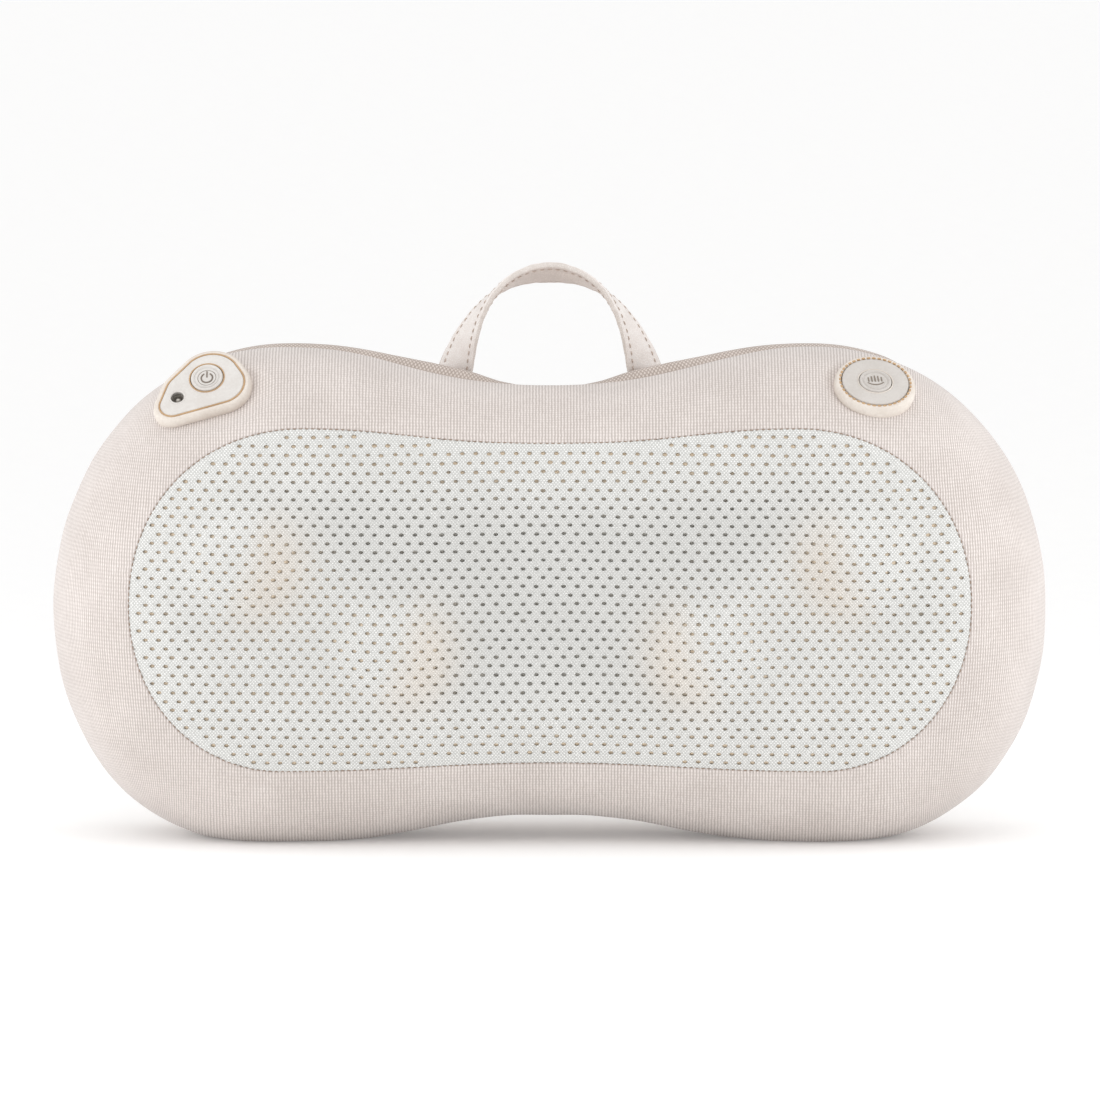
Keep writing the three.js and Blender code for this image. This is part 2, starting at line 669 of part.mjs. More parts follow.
// A wheel whose teeth lean with the worm's thread, with a tooth at the top.
function wheelGeometry() {
  const [tip, root] = [WHEEL_RADIUS + 1.4, WHEEL_RADIUS - 2];
  const pitch = 2 * Math.PI / WHEEL_TEETH;
  const slope = Math.tan(THREE.MathUtils.degToRad(20));
  const half = Math.PI * WORM_MODULE / 4 - 0.28;
  const tipHalf = (half - 1.4 * slope) / tip;
  const rootHalf = (half + 2 * slope) / root;
  const outline = [];
  for (let k = 0; k < WHEEL_TEETH; k++) {
    const middle = Math.PI / 2 + k * pitch;
    for (const [r, a] of [[root, -rootHalf], [tip, -tipHalf], [tip, tipHalf], [root, rootHalf]]) {
      outline.push(new THREE.Vector2(r * Math.cos(middle + a), r * Math.sin(middle + a)));
    }
  }
  const wheel = slab(outline, -WHEEL_FACE / 2, WHEEL_FACE / 2, [[0, 0, SHAFT_RADIUS + GAP]]);
  const lean = WORM_MODULE / 2 / WORM_RADIUS / WHEEL_RADIUS;
  const position = wheel.attributes.position;
  for (let k = 0; k < position.count; k++) {
    const p = new THREE.Vector3().fromBufferAttribute(position, k);
    p.applyAxisAngle(new THREE.Vector3(0, 1, 0), lean * p.y);
    position.setXYZ(k, p.x, p.y, p.z);
  }
  return wheel;
}

function buildDrive() {
  const drive = new THREE.Group();
  drive.position.set(0, DRIVE_Y, DRIVE_Z);
  const half = 17;
  add('motor_can', alongX(ring(12.5, 14, -half, half), 20), steel, drive);
  for (const [name, side] of [['motor_end_cap_left', -1], ['motor_end_cap_right', 1]]) {
    const cap = ring(DRIVE_RADIUS + GAP, 12.2, half - 2, half);
    cap.splice(3, 0, [5, half], [5, half + 3]);
    cap.splice(5, 1, [DRIVE_RADIUS + GAP, half + 3]);
    add(name, side > 0 ? alongX(cap, 16) : mirrored(alongX(cap, 16)), black, drive);
  }
  add('motor_armature', alongX(ring(DRIVE_RADIUS + GAP, 10.5, -12, 12), 16), steel, drive);
  add('drive_shaft', alongX([[0, -DRIVE_REACH], [DRIVE_RADIUS, -DRIVE_REACH],
    [DRIVE_RADIUS, DRIVE_REACH], [0, DRIVE_REACH]], 16), steel, drive);

  const bore = alongX([[0, -40], [DRIVE_RADIUS + GAP, -40], [DRIVE_RADIUS + GAP, 40], [0, 40]], 16);
  const worm = cut(wormGeometry(), bore).translate(HUB_X, 0, 0);
  add('right_worm', worm, brass, drive);
  add('left_worm', mirrored(worm), brass, drive);

  for (const [name, side] of [['left_worm_bearing', -1], ['right_worm_bearing', 1]]) {
    const block = cut(box(-2.5, -6, -6, 2.5, 6, 6), bore).translate(side * 108.5, 0, 0);
    add(name, block, brass, drive);
  }
  model.add(drive);
}

// ---------------------------------------------------------------- hubs and heads

function armGeometry() {
  const reach = [ARM_RADIUS * Math.cos(ARM_ANGLE), ARM_RADIUS * Math.sin(ARM_ANGLE)];
  const bar = hullOf([[reach[0], reach[1], 8], [-reach[0], -reach[1], 8]], 0);
  const pins = [1, -1].map((end) => slab(circle(end * reach[0], end * reach[1], 3.6), -31, -12));
  const arm = join(slab(bar, -12.5, -6), slab(circle(0, 0, 12), -13.5, -3.5), ...pins);
  return cut(arm, slab(circle(0, 0, SHAFT_RADIUS + GAP), -10.5, 0));
}

// A massage head: a low skirt under a round dome, with a blind bore for the arm's pin.
function headGeometry() {
  const [bore, floor] = [4, -32];
  const dome = [];
  const steps = 4;
  for (let k = 0; k <= steps; k++) {
    const a = Math.PI / 2 * k / steps;
    dome.push([HEAD_RADIUS * Math.cos(a), HEAD_BASE - 5 - (HEAD_BASE - 5 - HEAD_TOP) * Math.sin(a)]);
  }
  dome[steps][0] = 0;
  const skirt = [[0, floor], [bore, floor], [bore, HEAD_BASE], [HEAD_RADIUS - 1.5, HEAD_BASE]];
  return turned([...skirt, ...dome], 18);
}

function buildHubs() {
  for (const [side, name] of [[1, 'right'], [-1, 'left']]) {
    const hub = new THREE.Group();
    hub.position.set(side * HUB_X, 0, HUB_Z);
    const handed = (geometry) => (side > 0 ? geometry : mirrored(geometry));
    add(`${name}_hub_arm`, handed(armGeometry()), casePlastic, hub);
    add(`${name}_worm_wheel`, handed(wheelGeometry().translate(0, DRIVE_Y, 0)), gearPlastic, hub);
    add(`${name}_output_shaft`, turned([[0, -10], [SHAFT_RADIUS, -10], [SHAFT_RADIUS, 38],
      [0, 38]], 20), steel, hub);
    add(`${name}_shaft_bushing`, turned(ring(SHAFT_RADIUS + GAP, 8.6, -2.6, 8), 20), brass, hub);
    for (const [end, place] of [[1, 'upper'], [-1, 'lower']]) {
      const head = add(`${name}_${place}_head`, headGeometry(), headPlastic, hub);
      head.position.set(side * end * ARM_RADIUS * Math.cos(ARM_ANGLE), 0,
        end * ARM_RADIUS * Math.sin(ARM_ANGLE));
    }
    model.add(hub);
  }
}

// ---------------------------------------------------------------- electronics

function buildElectronics() {
  const cells = hullOf([[30.2, 60, 9.2], [30.2, 78, 9.2]], 0);
  add('battery_pack', prism(cells, -33, 33).rotateX(Math.PI / 2).rotateZ(Math.PI / 2), batteryBlue);
  add('control_board', join(box(-36, 12, 48, 36, 13.6, 90), box(-36, 13, 72, -31, 19, 80),
    box(31, 13, 72, 36, 19, 80), box(31, 13, 54, 36, 19, 62), box(-6, 13, 83, 6, 18, 89.5),
    box(-12, 9.5, 58, 4, 12.5, 70), box(14, 8.5, 52, 22, 12.5, 66)), boardGreen);
  for (const [name, pod, side] of [['power_lead', powerPod, -1], ['mode_lead', modePod, 1]]) {
    add(name, tube(leadRoute(pod, side), LEAD_RADIUS, 14, 6), black);
  }
  add('motor_lead', tube([[0, DRIVE_Y, DRIVE_Z - 14.4], [3, 20, 98], [0, 15.5, 90.2]],
    LEAD_RADIUS, 6, 6), red);
  add('battery_lead', tube([[33.4, 30.5, 65], [38.6, 30, 64], [41, 22, 59.4], [37.6, 16, 58]],
    LEAD_RADIUS, 8, 6), red);
}

buildSoftBody();
buildZip();
buildHandle();
buildPods();
buildCase();
buildDrive();
buildHubs();
buildElectronics();

export default model;
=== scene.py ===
"""Looks for the shiatsu neck massager: fabric covers, mesh window, pods, strap, zip and materials.

Shapes are worked out in millimetres, on the same outlines as the CAD, and made in metres.
"""

import contextlib
import math

import bmesh
import bpy
import numpy as np
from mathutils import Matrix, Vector
from mathutils.bvhtree import BVHTree


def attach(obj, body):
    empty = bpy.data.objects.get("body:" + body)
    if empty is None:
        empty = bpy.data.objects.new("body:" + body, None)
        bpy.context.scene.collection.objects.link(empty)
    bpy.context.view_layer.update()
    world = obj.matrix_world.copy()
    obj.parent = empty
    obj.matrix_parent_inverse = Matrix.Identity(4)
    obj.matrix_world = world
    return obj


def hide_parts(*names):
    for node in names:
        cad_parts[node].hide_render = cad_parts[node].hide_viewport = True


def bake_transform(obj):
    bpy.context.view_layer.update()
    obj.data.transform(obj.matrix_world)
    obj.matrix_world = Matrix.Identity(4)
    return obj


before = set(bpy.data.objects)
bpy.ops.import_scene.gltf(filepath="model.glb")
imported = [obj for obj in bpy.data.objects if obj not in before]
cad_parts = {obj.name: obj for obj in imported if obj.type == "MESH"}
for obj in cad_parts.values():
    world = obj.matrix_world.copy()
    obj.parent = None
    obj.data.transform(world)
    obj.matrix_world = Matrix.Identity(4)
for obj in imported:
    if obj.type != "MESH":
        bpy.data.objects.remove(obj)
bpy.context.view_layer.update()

MM = 0.001
TAU = 2 * math.pi
rng = np.random.default_rng(7)
link_object = bpy.context.scene.collection.objects.link

# ------------------------------------------------------------------ dimensions, as in the CAD

WIDEST_Y = 6.5
BODY = dict(dip=173.4, crest=(103, 188.2), side=(190, 88.7), lobe=(104, -4), waist=8.5,
            upper_round=(0.57, 0.55), lower_round=(0.6, 0.62))
SEAM = dict(dip=156.7, crest=(95, 162.9), side=(160.8, 95.2), lobe=(103, 31), waist=33.5,
            upper_round=(0.55, 0.6), lower_round=(0.52, 0.62))
BACK_INSET = 38
SEAM_DEPTH = 52
SEAM_ANGLE = math.radians(62)
CROWN = 10
WAIST_THINNING = 0.12
WAIST_WIDTH = 55
BACK_DEPTH = 42
MIDDLE = np.array([0.0, 95.0])
CENTRE = np.array([0, WIDEST_Y, MIDDLE[1]])
BAND_FRONT = -0.13
BAND_REAR = -0.25
SEAM_REAR = -0.19
BAND_REACH = (112, 150)

HEAD_SPOTS = [(-119, 112.3), (-61.4, 77.7), (119, 112.3), (61.4, 77.7)]
HEAD_RADIUS = 19

POD_TOP = 3.2
POWER_POD = dict(x=-131.6, z=174.8, elevation=43, sideways=-10, roll=6, node="power_button")
MODE_POD = dict(x=123.8, z=176.2, elevation=54, sideways=10, roll=0, node="mode_button")
POWER_FACE = [(2.2, 3.6, 11), (6.1, 0.7, 9.1), (-11.8, -8.3, 5), (-5.85, -2.2, 8.8)]
MODE_FACE = [(0, 0, 12.8)]
POWER_BUTTON_AT = (1, 3.4)
SOCKET_AT = (-10.2, -4.8)
SOCKET_RADIUS = 2.75
BUTTON_RADIUS = 6.2
POD_RIM = 2.4

HANDLE_Y = 26
HANDLE_BASE_Z = 177.2
HANDLE_TOP_Z = 215.2
HANDLE_HALF_SPAN = 36.5
STRAP_WIDTH = 13.4
STRAP_THICK = 2.8
STRAP_SHOULDER = [(31.9, 193.7), (23.4, HANDLE_TOP_Z)]
STRAP_TWIST = math.radians(132)
TWIST_POWER = 0.66
TWIST_ROUND = 0.08

ZIP_Z = 52
ZIP_HALF = 110
BACK_Y = WIDEST_Y + BACK_DEPTH

# ------------------------------------------------------------------ node helpers


class Shader:
    """A material's node tree, with short ways to add and join nodes."""

    def __init__(self, name):
        self.material = bpy.data.materials.new(name)
        self.material.use_nodes = True
        self.tree = self.material.node_tree
        self.bsdf = self.tree.nodes["Principled BSDF"]

    def node(self, kind, **settings):
        made = self.tree.nodes.new(kind)
        for key, value in settings.items():
            setattr(made, key, value)
        return made

    def link(self, source, target):
        self.tree.links.new(source, target)
        return target

    def put(self, target, value):
        if isinstance(value, bpy.types.NodeSocket):
            self.link(value, target)
        else:
            target.default_value = value

    def math(self, operation, a, b=0.0, c=0.0):
        made = self.node("ShaderNodeMath", operation=operation)
        for socket, value in zip(made.inputs, (a, b, c)):
            self.put(socket, value)
        return made.outputs[0]

    def noise(self, where, scale, detail=3.0, roughness=0.55):
        made = self.node("ShaderNodeTexNoise")
        self.link(where, made.inputs["Vector"])
        made.inputs["Scale"].default_value = scale
        made.inputs["Detail"].default_value = detail
        made.inputs["Roughness"].default_value = roughness
        return made.outputs["Fac"]

    def ramp(self, value, low, high, from_low=0.0, from_high=1.0):
        made = self.node("ShaderNodeMapRange", interpolation_type="SMOOTHSTEP")
        self.put(made.inputs["Value"], value)
        for key, number in (("From Min", from_low), ("From Max", from_high),
                            ("To Min", low), ("To Max", high)):
            made.inputs[key].default_value = number
        return made.outputs[0]

    def mix(self, share, a, b):
        made = self.node("ShaderNodeMix", data_type="RGBA")
        self.put(made.inputs["Factor"], share)
        for socket, value in ((made.inputs[6], a), (made.inputs[7], b)):
            self.put(socket, value if isinstance(value, bpy.types.NodeSocket) else rgb(value))
        return made.outputs[2]

    def bump(self, height, strength, distance):
        """The surface's normal, from a height, with the bump's distance in metres."""
        made = self.node("ShaderNodeBump")
        made.inputs["Strength"].default_value = strength
        made.inputs["Distance"].default_value = distance
        self.link(height, made.inputs["Height"])
        self.link(made.outputs["Normal"], self.bsdf.inputs["Normal"])

    def place(self):
        """Object coordinates in millimetres."""
        coordinates = self.node("ShaderNodeTexCoord").outputs["Object"]
        scaled = self.node("ShaderNodeVectorMath", operation="SCALE")
        self.link(coordinates, scaled.inputs[0])
        scaled.inputs["Scale"].default_value = 1000.0
        return scaled.outputs[0]

    def cloth_place(self):
        """Coordinates along the cloth in millimetres, and the two numbers apart."""
        uv = self.node("ShaderNodeUVMap", uv_map="Cloth").outputs[0]
        apart = self.node("ShaderNodeSeparateXYZ")
        self.link(uv, apart.inputs[0])
        return uv, apart.outputs[0], apart.outputs[1]

    def wave(self, along, period):
        """From 0 to 1 and back over each period."""
        turn = self.math("MULTIPLY", along, TAU / period)
        return self.math("MULTIPLY_ADD", self.math("SINE", turn), 0.5, 0.5)

    def surface(self, colour, roughness, **constants):
        bsdf = self.bsdf
        self.put(bsdf.inputs["Base Color"], colour)
        self.put(bsdf.inputs["Roughness"], roughness)
        for key, value in constants.items():
            bsdf.inputs[key.replace("_", " ")].default_value = value


def rgb(colour):
    """A colour given as sRGB from 0 to 255, as a linear RGBA."""
    parts = np.array(colour[:3], float) / 255
    linear = np.where(parts <= 0.04045, parts / 12.92, ((parts + 0.055) / 1.055) ** 2.4)
    return (*linear.tolist(), 1.0)


# ------------------------------------------------------------------ materials


def knit_material(name, light, dark, rib, strength=0.35):
    """Fine ribbed knit: ribs, rows of stitches, fuzz and slow changes of tone."""
    sh = Shader(name)
    uv, across, along = sh.cloth_place()
    place = sh.place()
    wander = sh.math("MULTIPLY_ADD", sh.noise(uv, 0.35, 2.0), 0.5, across)
    ribs = sh.wave(wander, rib)
    rows = sh.wave(along, rib * 1.25)
    stitch = sh.math("MULTIPLY", ribs, sh.math("MULTIPLY_ADD", rows, 0.4, 0.6))
    fuzz = sh.noise(place, 3.2, 4.0, 0.7)
    cloud = sh.noise(place, 0.035, 3.0)
    slub = sh.noise(place, 0.5, 2.0)
    tone = sh.math("MULTIPLY_ADD", stitch, 0.42, sh.math("MULTIPLY", fuzz, 0.34))
    tone = sh.math("MULTIPLY_ADD", slub, 0.16, tone)
    tone = sh.math("MULTIPLY_ADD", cloud, 0.22, tone)
    colour = sh.mix(sh.ramp(tone, 0.0, 1.0, 0.28, 0.88), dark, light)
    sh.surface(colour, sh.ramp(fuzz, 0.82, 0.97), Sheen_Weight=0.35, Sheen_Roughness=0.45,
               Specular_IOR_Level=0.25)
    height = sh.math("MULTIPLY_ADD", stitch, 0.8, sh.math("MULTIPLY", fuzz, 0.35))
    sh.bump(height, strength, 0.0004)
    return sh.material


def mesh_material():
    """Looped knit of the window: diamonds of loops between the holes, on a soft white yarn."""
    sh = Shader("mesh_knit")
    uv, across, along = sh.cloth_place()
    place = sh.place()
    jitter = sh.math("MULTIPLY", sh.noise(uv, 0.9, 2.0), 1.1)
    leaning = sh.math("ADD", sh.math("MULTIPLY_ADD", along, 0.9, across), jitter)
    falling = sh.math("ADD", sh.math("MULTIPLY_ADD", along, -0.9, across), jitter)
    loops = sh.math("MULTIPLY", sh.wave(leaning, 1.28), sh.wave(falling, 1.28))
    fuzz = sh.noise(place, 2.6, 4.0, 0.7)
    cloud = sh.noise(place, 0.03, 2.0)
    tone = sh.math("MULTIPLY_ADD", loops, 0.55, sh.math("MULTIPLY", fuzz, 0.45))
    tone = sh.math("MULTIPLY_ADD", cloud, 0.15, tone)
    yarn = sh.mix(sh.ramp(tone, 0.0, 1.0, 0.25, 0.85), (204, 204, 201), (255, 255, 253))
    # Painted shade: the yarn mixed towards grey where the mesh sits down in the valleys between
    # the heads.
    hollow = sh.node("ShaderNodeAttribute", attribute_name="hollow").outputs["Fac"]
    shaded = sh.mix(sh.math("MULTIPLY", hollow, 0.3), yarn, (190, 189, 186))
    # Painted warm shade: a tan crescent on the side of each head that faces the middle.
    glow = sh.node("ShaderNodeAttribute", attribute_name="glow").outputs["Fac"]
    colour = sh.mix(sh.math("MULTIPLY", glow, 0.27), shaded, (232, 210, 186))
    sh.surface(colour, sh.ramp(fuzz, 0.8, 0.96), Sheen_Weight=0.25, Sheen_Roughness=0.5,
               Specular_IOR_Level=0.25)
    height = sh.math("MULTIPLY_ADD", loops, 0.9, sh.math("MULTIPLY", fuzz, 0.4))
    sh.bump(height, 0.4, 0.0004)
    return sh.material


def backing_material():
    """The layer behind the holes: tan over the heads and by the seam, and between them a greyer,
    darker tone that is painted shade of the deeper holes.
    """
    sh = Shader("mesh_backing")
    place = sh.place()
    warm = sh.node("ShaderNodeAttribute", attribute_name="warmth").outputs["Fac"]
    weave = sh.noise(place, 1.4, 4.0, 0.65)
    # Painted shade: where warmth is low, between the heads, the backing is greyer and darker than
    # the tan.
    shade = sh.mix(warm, (220, 218, 211), (253, 232, 204))
    colour = sh.mix(sh.ramp(weave, 0.0, 0.35, 0.3, 0.8), shade, (252, 240, 222))
    sh.surface(colour, sh.ramp(weave, 0.85, 0.98), Sheen_Weight=0.1, Specular_IOR_Level=0.2)
    sh.bump(weave, 0.4, 0.0004)
    return sh.material


def leather_material(name, light, dark):
    """Smooth grained leather, worn a little darker in its creases."""
    sh = Shader(name)
    place = sh.place()
    cells = sh.node("ShaderNodeTexVoronoi", feature="DISTANCE_TO_EDGE")
    sh.link(place, cells.inputs["Vector"])
    cells.inputs["Scale"].default_value = 1.5
    grain = sh.ramp(cells.outputs["Distance"], 0.0, 1.0, 0.0, 0.32)
    wear = sh.noise(place, 0.16, 4.0)
    pores = sh.noise(place, 3.4, 3.0)
    tone = sh.math("MULTIPLY_ADD", grain, 0.35, sh.math("MULTIPLY", wear, 0.75))
    colour = sh.mix(sh.ramp(tone, 0.0, 1.0, 0.25, 0.9), dark, light)
    sh.surface(colour, sh.ramp(wear, 0.44, 0.64, 0.3, 0.7), Specular_IOR_Level=0.4)
    height = sh.math("MULTIPLY_ADD", pores, 0.25, grain)
    sh.bump(height, 0.22, 0.0003)
    return sh.material


def moulded_material(name, light, dark, roughness=(0.4, 0.55), grain=4.5, depth=0.12, coat=0.0):
    """Moulded, cast or plated stuff: fine grain and faint flow marks."""
    sh = Shader(name)
    place = sh.place()
    fine = sh.noise(place, grain, 3.0, 0.6)
    flow = sh.noise(place, 0.09, 4.0, 0.6)
    speck = sh.noise(place, 1.1, 2.0)
    tone = sh.math("MULTIPLY_ADD", flow, 0.65, sh.math("MULTIPLY", speck, 0.35))
    colour = sh.mix(sh.ramp(tone, 0.0, 1.0, 0.32, 0.68), dark, light)
    sh.surface(colour, sh.ramp(flow, *roughness, 0.3, 0.7), Specular_IOR_Level=0.45,
               Coat_Weight=coat)
    sh.bump(fine, depth, 0.0002)
    return sh.material


def brushed_material(name, light, dark):
    """Turned or brushed metal, with fine lines along X."""
    sh = Shader(name)
    place = sh.place()
    stretched = sh.node("ShaderNodeMapping")
    sh.link(place, stretched.inputs["Vector"])
    stretched.inputs["Scale"].default_value = (0.08, 3.0, 3.0)
    lines = sh.noise(stretched.outputs[0], 1.6, 4.0, 0.7)
    stain = sh.noise(place, 0.12, 3.0)
    colour = sh.mix(sh.ramp(sh.math("MULTIPLY_ADD", lines, 0.6, sh.math("MULTIPLY", stain, 0.4)),
                            0.0, 1.0, 0.3, 0.75), dark, light)
    sh.surface(colour, sh.ramp(lines, 0.22, 0.42, 0.3, 0.7), Metallic=1.0)
    sh.bump(lines, 0.1, 0.0002)
    return sh.material


def foam_material():
    """Open-cell foam: small round pores in a pale, slightly yellowed body."""
    sh = Shader("foam_cells")
    place = sh.place()
    cells = sh.node("ShaderNodeTexVoronoi")
    sh.link(place, cells.inputs["Vector"])
    cells.inputs["Scale"].default_value = 1.1
    pore = sh.ramp(cells.outputs["Distance"], 0.0, 1.0, 0.1, 0.7)
    yellow = sh.noise(place, 0.03, 3.0)
    body = sh.mix(sh.ramp(yellow, 0.0, 1.0, 0.3, 0.7), (224, 220, 205), (208, 196, 168))
    colour = sh.mix(pore, (170, 164, 146), body)
    sh.surface(colour, sh.ramp(pore, 0.98, 0.86), Specular_IOR_Level=0.2)
    sh.bump(pore, 0.5, 0.0006)
    return sh.material


def woven_material(name, light, dark, period):
    """Plain woven tape: threads over and under, slightly uneven."""
    sh = Shader(name)
    _, across, along = sh.cloth_place()
    place = sh.place()
    over = sh.wave(across, period)
    under = sh.wave(along, period)
    weave = sh.math("ABSOLUTE", sh.math("SUBTRACT", over, under))
    fuzz = sh.noise(place, 2.4, 4.0, 0.7)
    cloud = sh.noise(place, 0.06, 3.0)
    tone = sh.math("MULTIPLY_ADD", weave, 0.4, sh.math("MULTIPLY", fuzz, 0.4))
    tone = sh.math("MULTIPLY_ADD", cloud, 0.25, tone)
    colour = sh.mix(sh.ramp(tone, 0.0, 1.0, 0.25, 0.85), dark, light)
    sh.surface(colour, sh.ramp(fuzz, 0.8, 0.95), Sheen_Weight=0.2, Specular_IOR_Level=0.25)
    sh.bump(sh.math("MULTIPLY_ADD", fuzz, 0.4, weave), 0.5, 0.0004)
    return sh.material


def thread_material(name, light, dark):
    """Twisted sewing thread."""
    sh = Shader(name)
    place = sh.place()
    apart = sh.node("ShaderNodeSeparateXYZ")
    sh.link(place, apart.inputs[0])
    slanted = sh.math("ADD", sh.math("ADD", apart.outputs[0], apart.outputs[1]),
                      apart.outputs[2])
    twist = sh.wave(slanted, 0.55)
    fuzz = sh.noise(place, 2.0, 3.0)
    tone = sh.math("MULTIPLY_ADD", twist, 0.5, sh.math("MULTIPLY", fuzz, 0.5))
    sh.surface(sh.mix(tone, dark, light), sh.ramp(fuzz, 0.65, 0.85), Sheen_Weight=0.2)
    sh.bump(twist, 0.3, 0.0002)
    return sh.material


KNIT = knit_material("border_knit", (244, 236, 232), (190, 180, 174), 1.2)
BACK_KNIT = knit_material("back_knit", (238, 228, 222), (206, 195, 188), 1.3, strength=0.45)
MESH = mesh_material()
BACKING = backing_material()
TAPE = woven_material("seam_tape", (234, 224, 217), (172, 158, 149), 1.5)
ZIP_TAPE = woven_material("zip_tape_weave", (214, 202, 191), (178, 164, 152), 0.9)
LEATHER = leather_material("strap_leather", (248, 244, 241), (234, 226, 221))
EDGE_PAINT = leather_material("strap_edge", (236, 229, 224), (214, 205, 198))
# The strap's inner face: the same leather painted darker, which is painted shade on the underside.
STRAP_UNDERSIDE_SHADE = leather_material("strap_lining", (226, 216, 210), (204, 193, 186))
POD = moulded_material("pod_plastic_cream", (225, 222, 218), (213, 208, 203), (0.34, 0.48),
                       coat=0.1)
RIM = moulded_material("pod_rim_plastic", (233, 225, 216), (220, 210, 200), (0.36, 0.5))
DISC = moulded_material("disc_plastic_grey", (211, 206, 201), (200, 194, 188), (0.38, 0.5))
PRINT = moulded_material("icon_print", (146, 135, 124), (124, 113, 102), (0.4, 0.6))
SOCKET = moulded_material("socket_grey", (214, 209, 202), (186, 180, 172), (0.4, 0.6))
TRIM = moulded_material("tan_trim", (206, 172, 132), (184, 148, 108), (0.35, 0.5))
CASE = moulded_material("case_abs", (204, 207, 209), (184, 188, 191), (0.45, 0.62), 3.0, 0.2)
GEAR = moulded_material("gear_acetal", (246, 245, 238), (230, 228, 217), (0.35, 0.5))
HEAD = moulded_material("head_rubber", (226, 168, 124), (205, 143, 98), (0.5, 0.65), 3.0, 0.2)
BLACK = moulded_material("black_nylon", (46, 47, 50), (28, 29, 32), (0.45, 0.65), 3.5, 0.2)
BOARD = moulded_material("board_green", (44, 122, 84), (24, 92, 60), (0.35, 0.55), 2.0, 0.1)
WRAP = moulded_material("battery_wrap", (58, 108, 178), (38, 86, 152), (0.3, 0.5), 2.0, 0.1,
                        coat=0.3)
RED = moulded_material("red_sleeve", (190, 58, 54), (158, 40, 40), (0.4, 0.6), 3.0, 0.15)
STEEL = brushed_material("steel_turned", (206, 208, 211), (158, 160, 165))
BRASS = brushed_material("brass_turned", (222, 184, 110), (176, 134, 66))
FOAM = foam_material()
SEAM_THREAD = thread_material("seam_thread", (176, 150, 130), (134, 108, 90))
STRAP_THREAD = thread_material("strap_thread", (214, 198, 186), (170, 152, 140))

SLOT_LOOKS = {
    "knit": KNIT, "mesh": MESH, "lining": BACKING, "foam": FOAM, "tape": TAPE,
    "leather": LEATHER, "pod_plastic": POD, "disc_plastic": DISC, "case_plastic": CASE,
    "gear_plastic": GEAR, "head_plastic": HEAD, "steel": STEEL, "brass": BRASS,
    "black_plastic": BLACK, "board": BOARD, "battery_wrap": WRAP, "red_plastic": RED,
}

# ------------------------------------------------------------------ mesh helpers


def unit(v):
    return v / np.maximum(np.linalg.norm(v, axis=-1, keepdims=True), 1e-12)


def smoothstep(x, low, high):
    t = np.clip((np.asarray(x, float) - low) / (high - low), 0, 1)
    return t * t * (3 - 2 * t)


def shown(data):
    """A smooth-shaded object of a mesh, with the mesh's name."""
    data.polygons.foreach_set("use_smooth", [True] * len(data.polygons))
    made = bpy.data.objects.new(data.name, data)
    link_object(made)
    return made


def build(name, points, faces, material, uv=None, tones=None):
    """A mesh object from points in millimetres."""
    data = bpy.data.meshes.new(name)
    data.from_pydata((np.asarray(points, float) * MM).tolist(), [], [list(f) for f in faces])
    data.materials.append(material)
    if uv is not None:
        layer = data.uv_layers.new(name="Cloth")
        index = np.zeros(len(data.loops), np.int32)
        data.loops.foreach_get("vertex_index", index)
        layer.data.foreach_set("uv", np.asarray(uv, np.float32)[index].ravel())
    for tone, values in (tones or {}).items():
        attribute = data.attributes.new(tone, "FLOAT", "POINT")
        attribute.data.foreach_set("value", np.asarray(values, np.float32))
    return shown(data)


@contextlib.contextmanager
def edited(data):
    """A mesh opened for editing, and written back when the editing is done."""
    work = bmesh.new()
    work.from_mesh(data)
    yield work
    work.to_mesh(data)
    work.free()


def outward(obj):
    """Faces turned to point out of a closed piece."""
    with edited(obj.data) as work:
        bmesh.ops.recalc_face_normals(work, faces=work.faces)
    return obj


def thicken(obj, thickness):
    """Cloth of that thickness in millimetres, grown on the side away from its normals."""
    modifier = obj.modifiers.new("thickness", "SOLIDIFY")
    modifier.thickness = thickness * MM
    modifier.offset = -1
    return obj


def bevel(obj, width):
    """Sharp edges rounded over a width in millimetres."""
    modifier = obj.modifiers.new("edges", "BEVEL")
    modifier.width = width * MM
    modifier.segments = 2
    modifier.limit_method = "ANGLE"
    modifier.angle_limit = math.radians(35)
    return obj


def fan_faces(last, columns, centre):
    """Triangles from a closed row of points to one more."""
    return [(last + i, last + (i + 1) % columns, centre) for i in range(columns)]


def strip_faces(rows, columns):
    """Quads between closed rows of points, each row with the same number of columns."""
    a = np.arange(columns)
    b = (a + 1) % columns
    return [(r * columns + i, r * columns + j, (r + 1) * columns + j, (r + 1) * columns + i)
            for r in range(rows - 1) for i, j in zip(a, b)]


def loft(name, rings, material, uv=None, closed_end=False):
    """A skin over rings of points. The ends are closed, or the last ring joins the first."""
    rings = [np.asarray(r, float) for r in rings]
    columns = len(rings[0])
    faces = strip_faces(len(rings), columns)
    base = (len(rings) - 1) * columns
    if closed_end:
        faces += [(base + i, base + (i + 1) % columns, (i + 1) % columns, i)
                  for i in range(columns)]
    else:
        faces += [tuple(reversed(range(columns))), tuple(base + i for i in range(columns))]
    return outward(build(name, np.concatenate(rings), faces, material, uv=uv))


def basis_from(normal, along):
    """Rows: along made square to normal, their cross, and normal."""
    n = unit(np.asarray(normal, float))
    a = unit(along - n * np.sum(along * n, axis=-1, keepdims=True))
    return a, np.cross(n, a), n


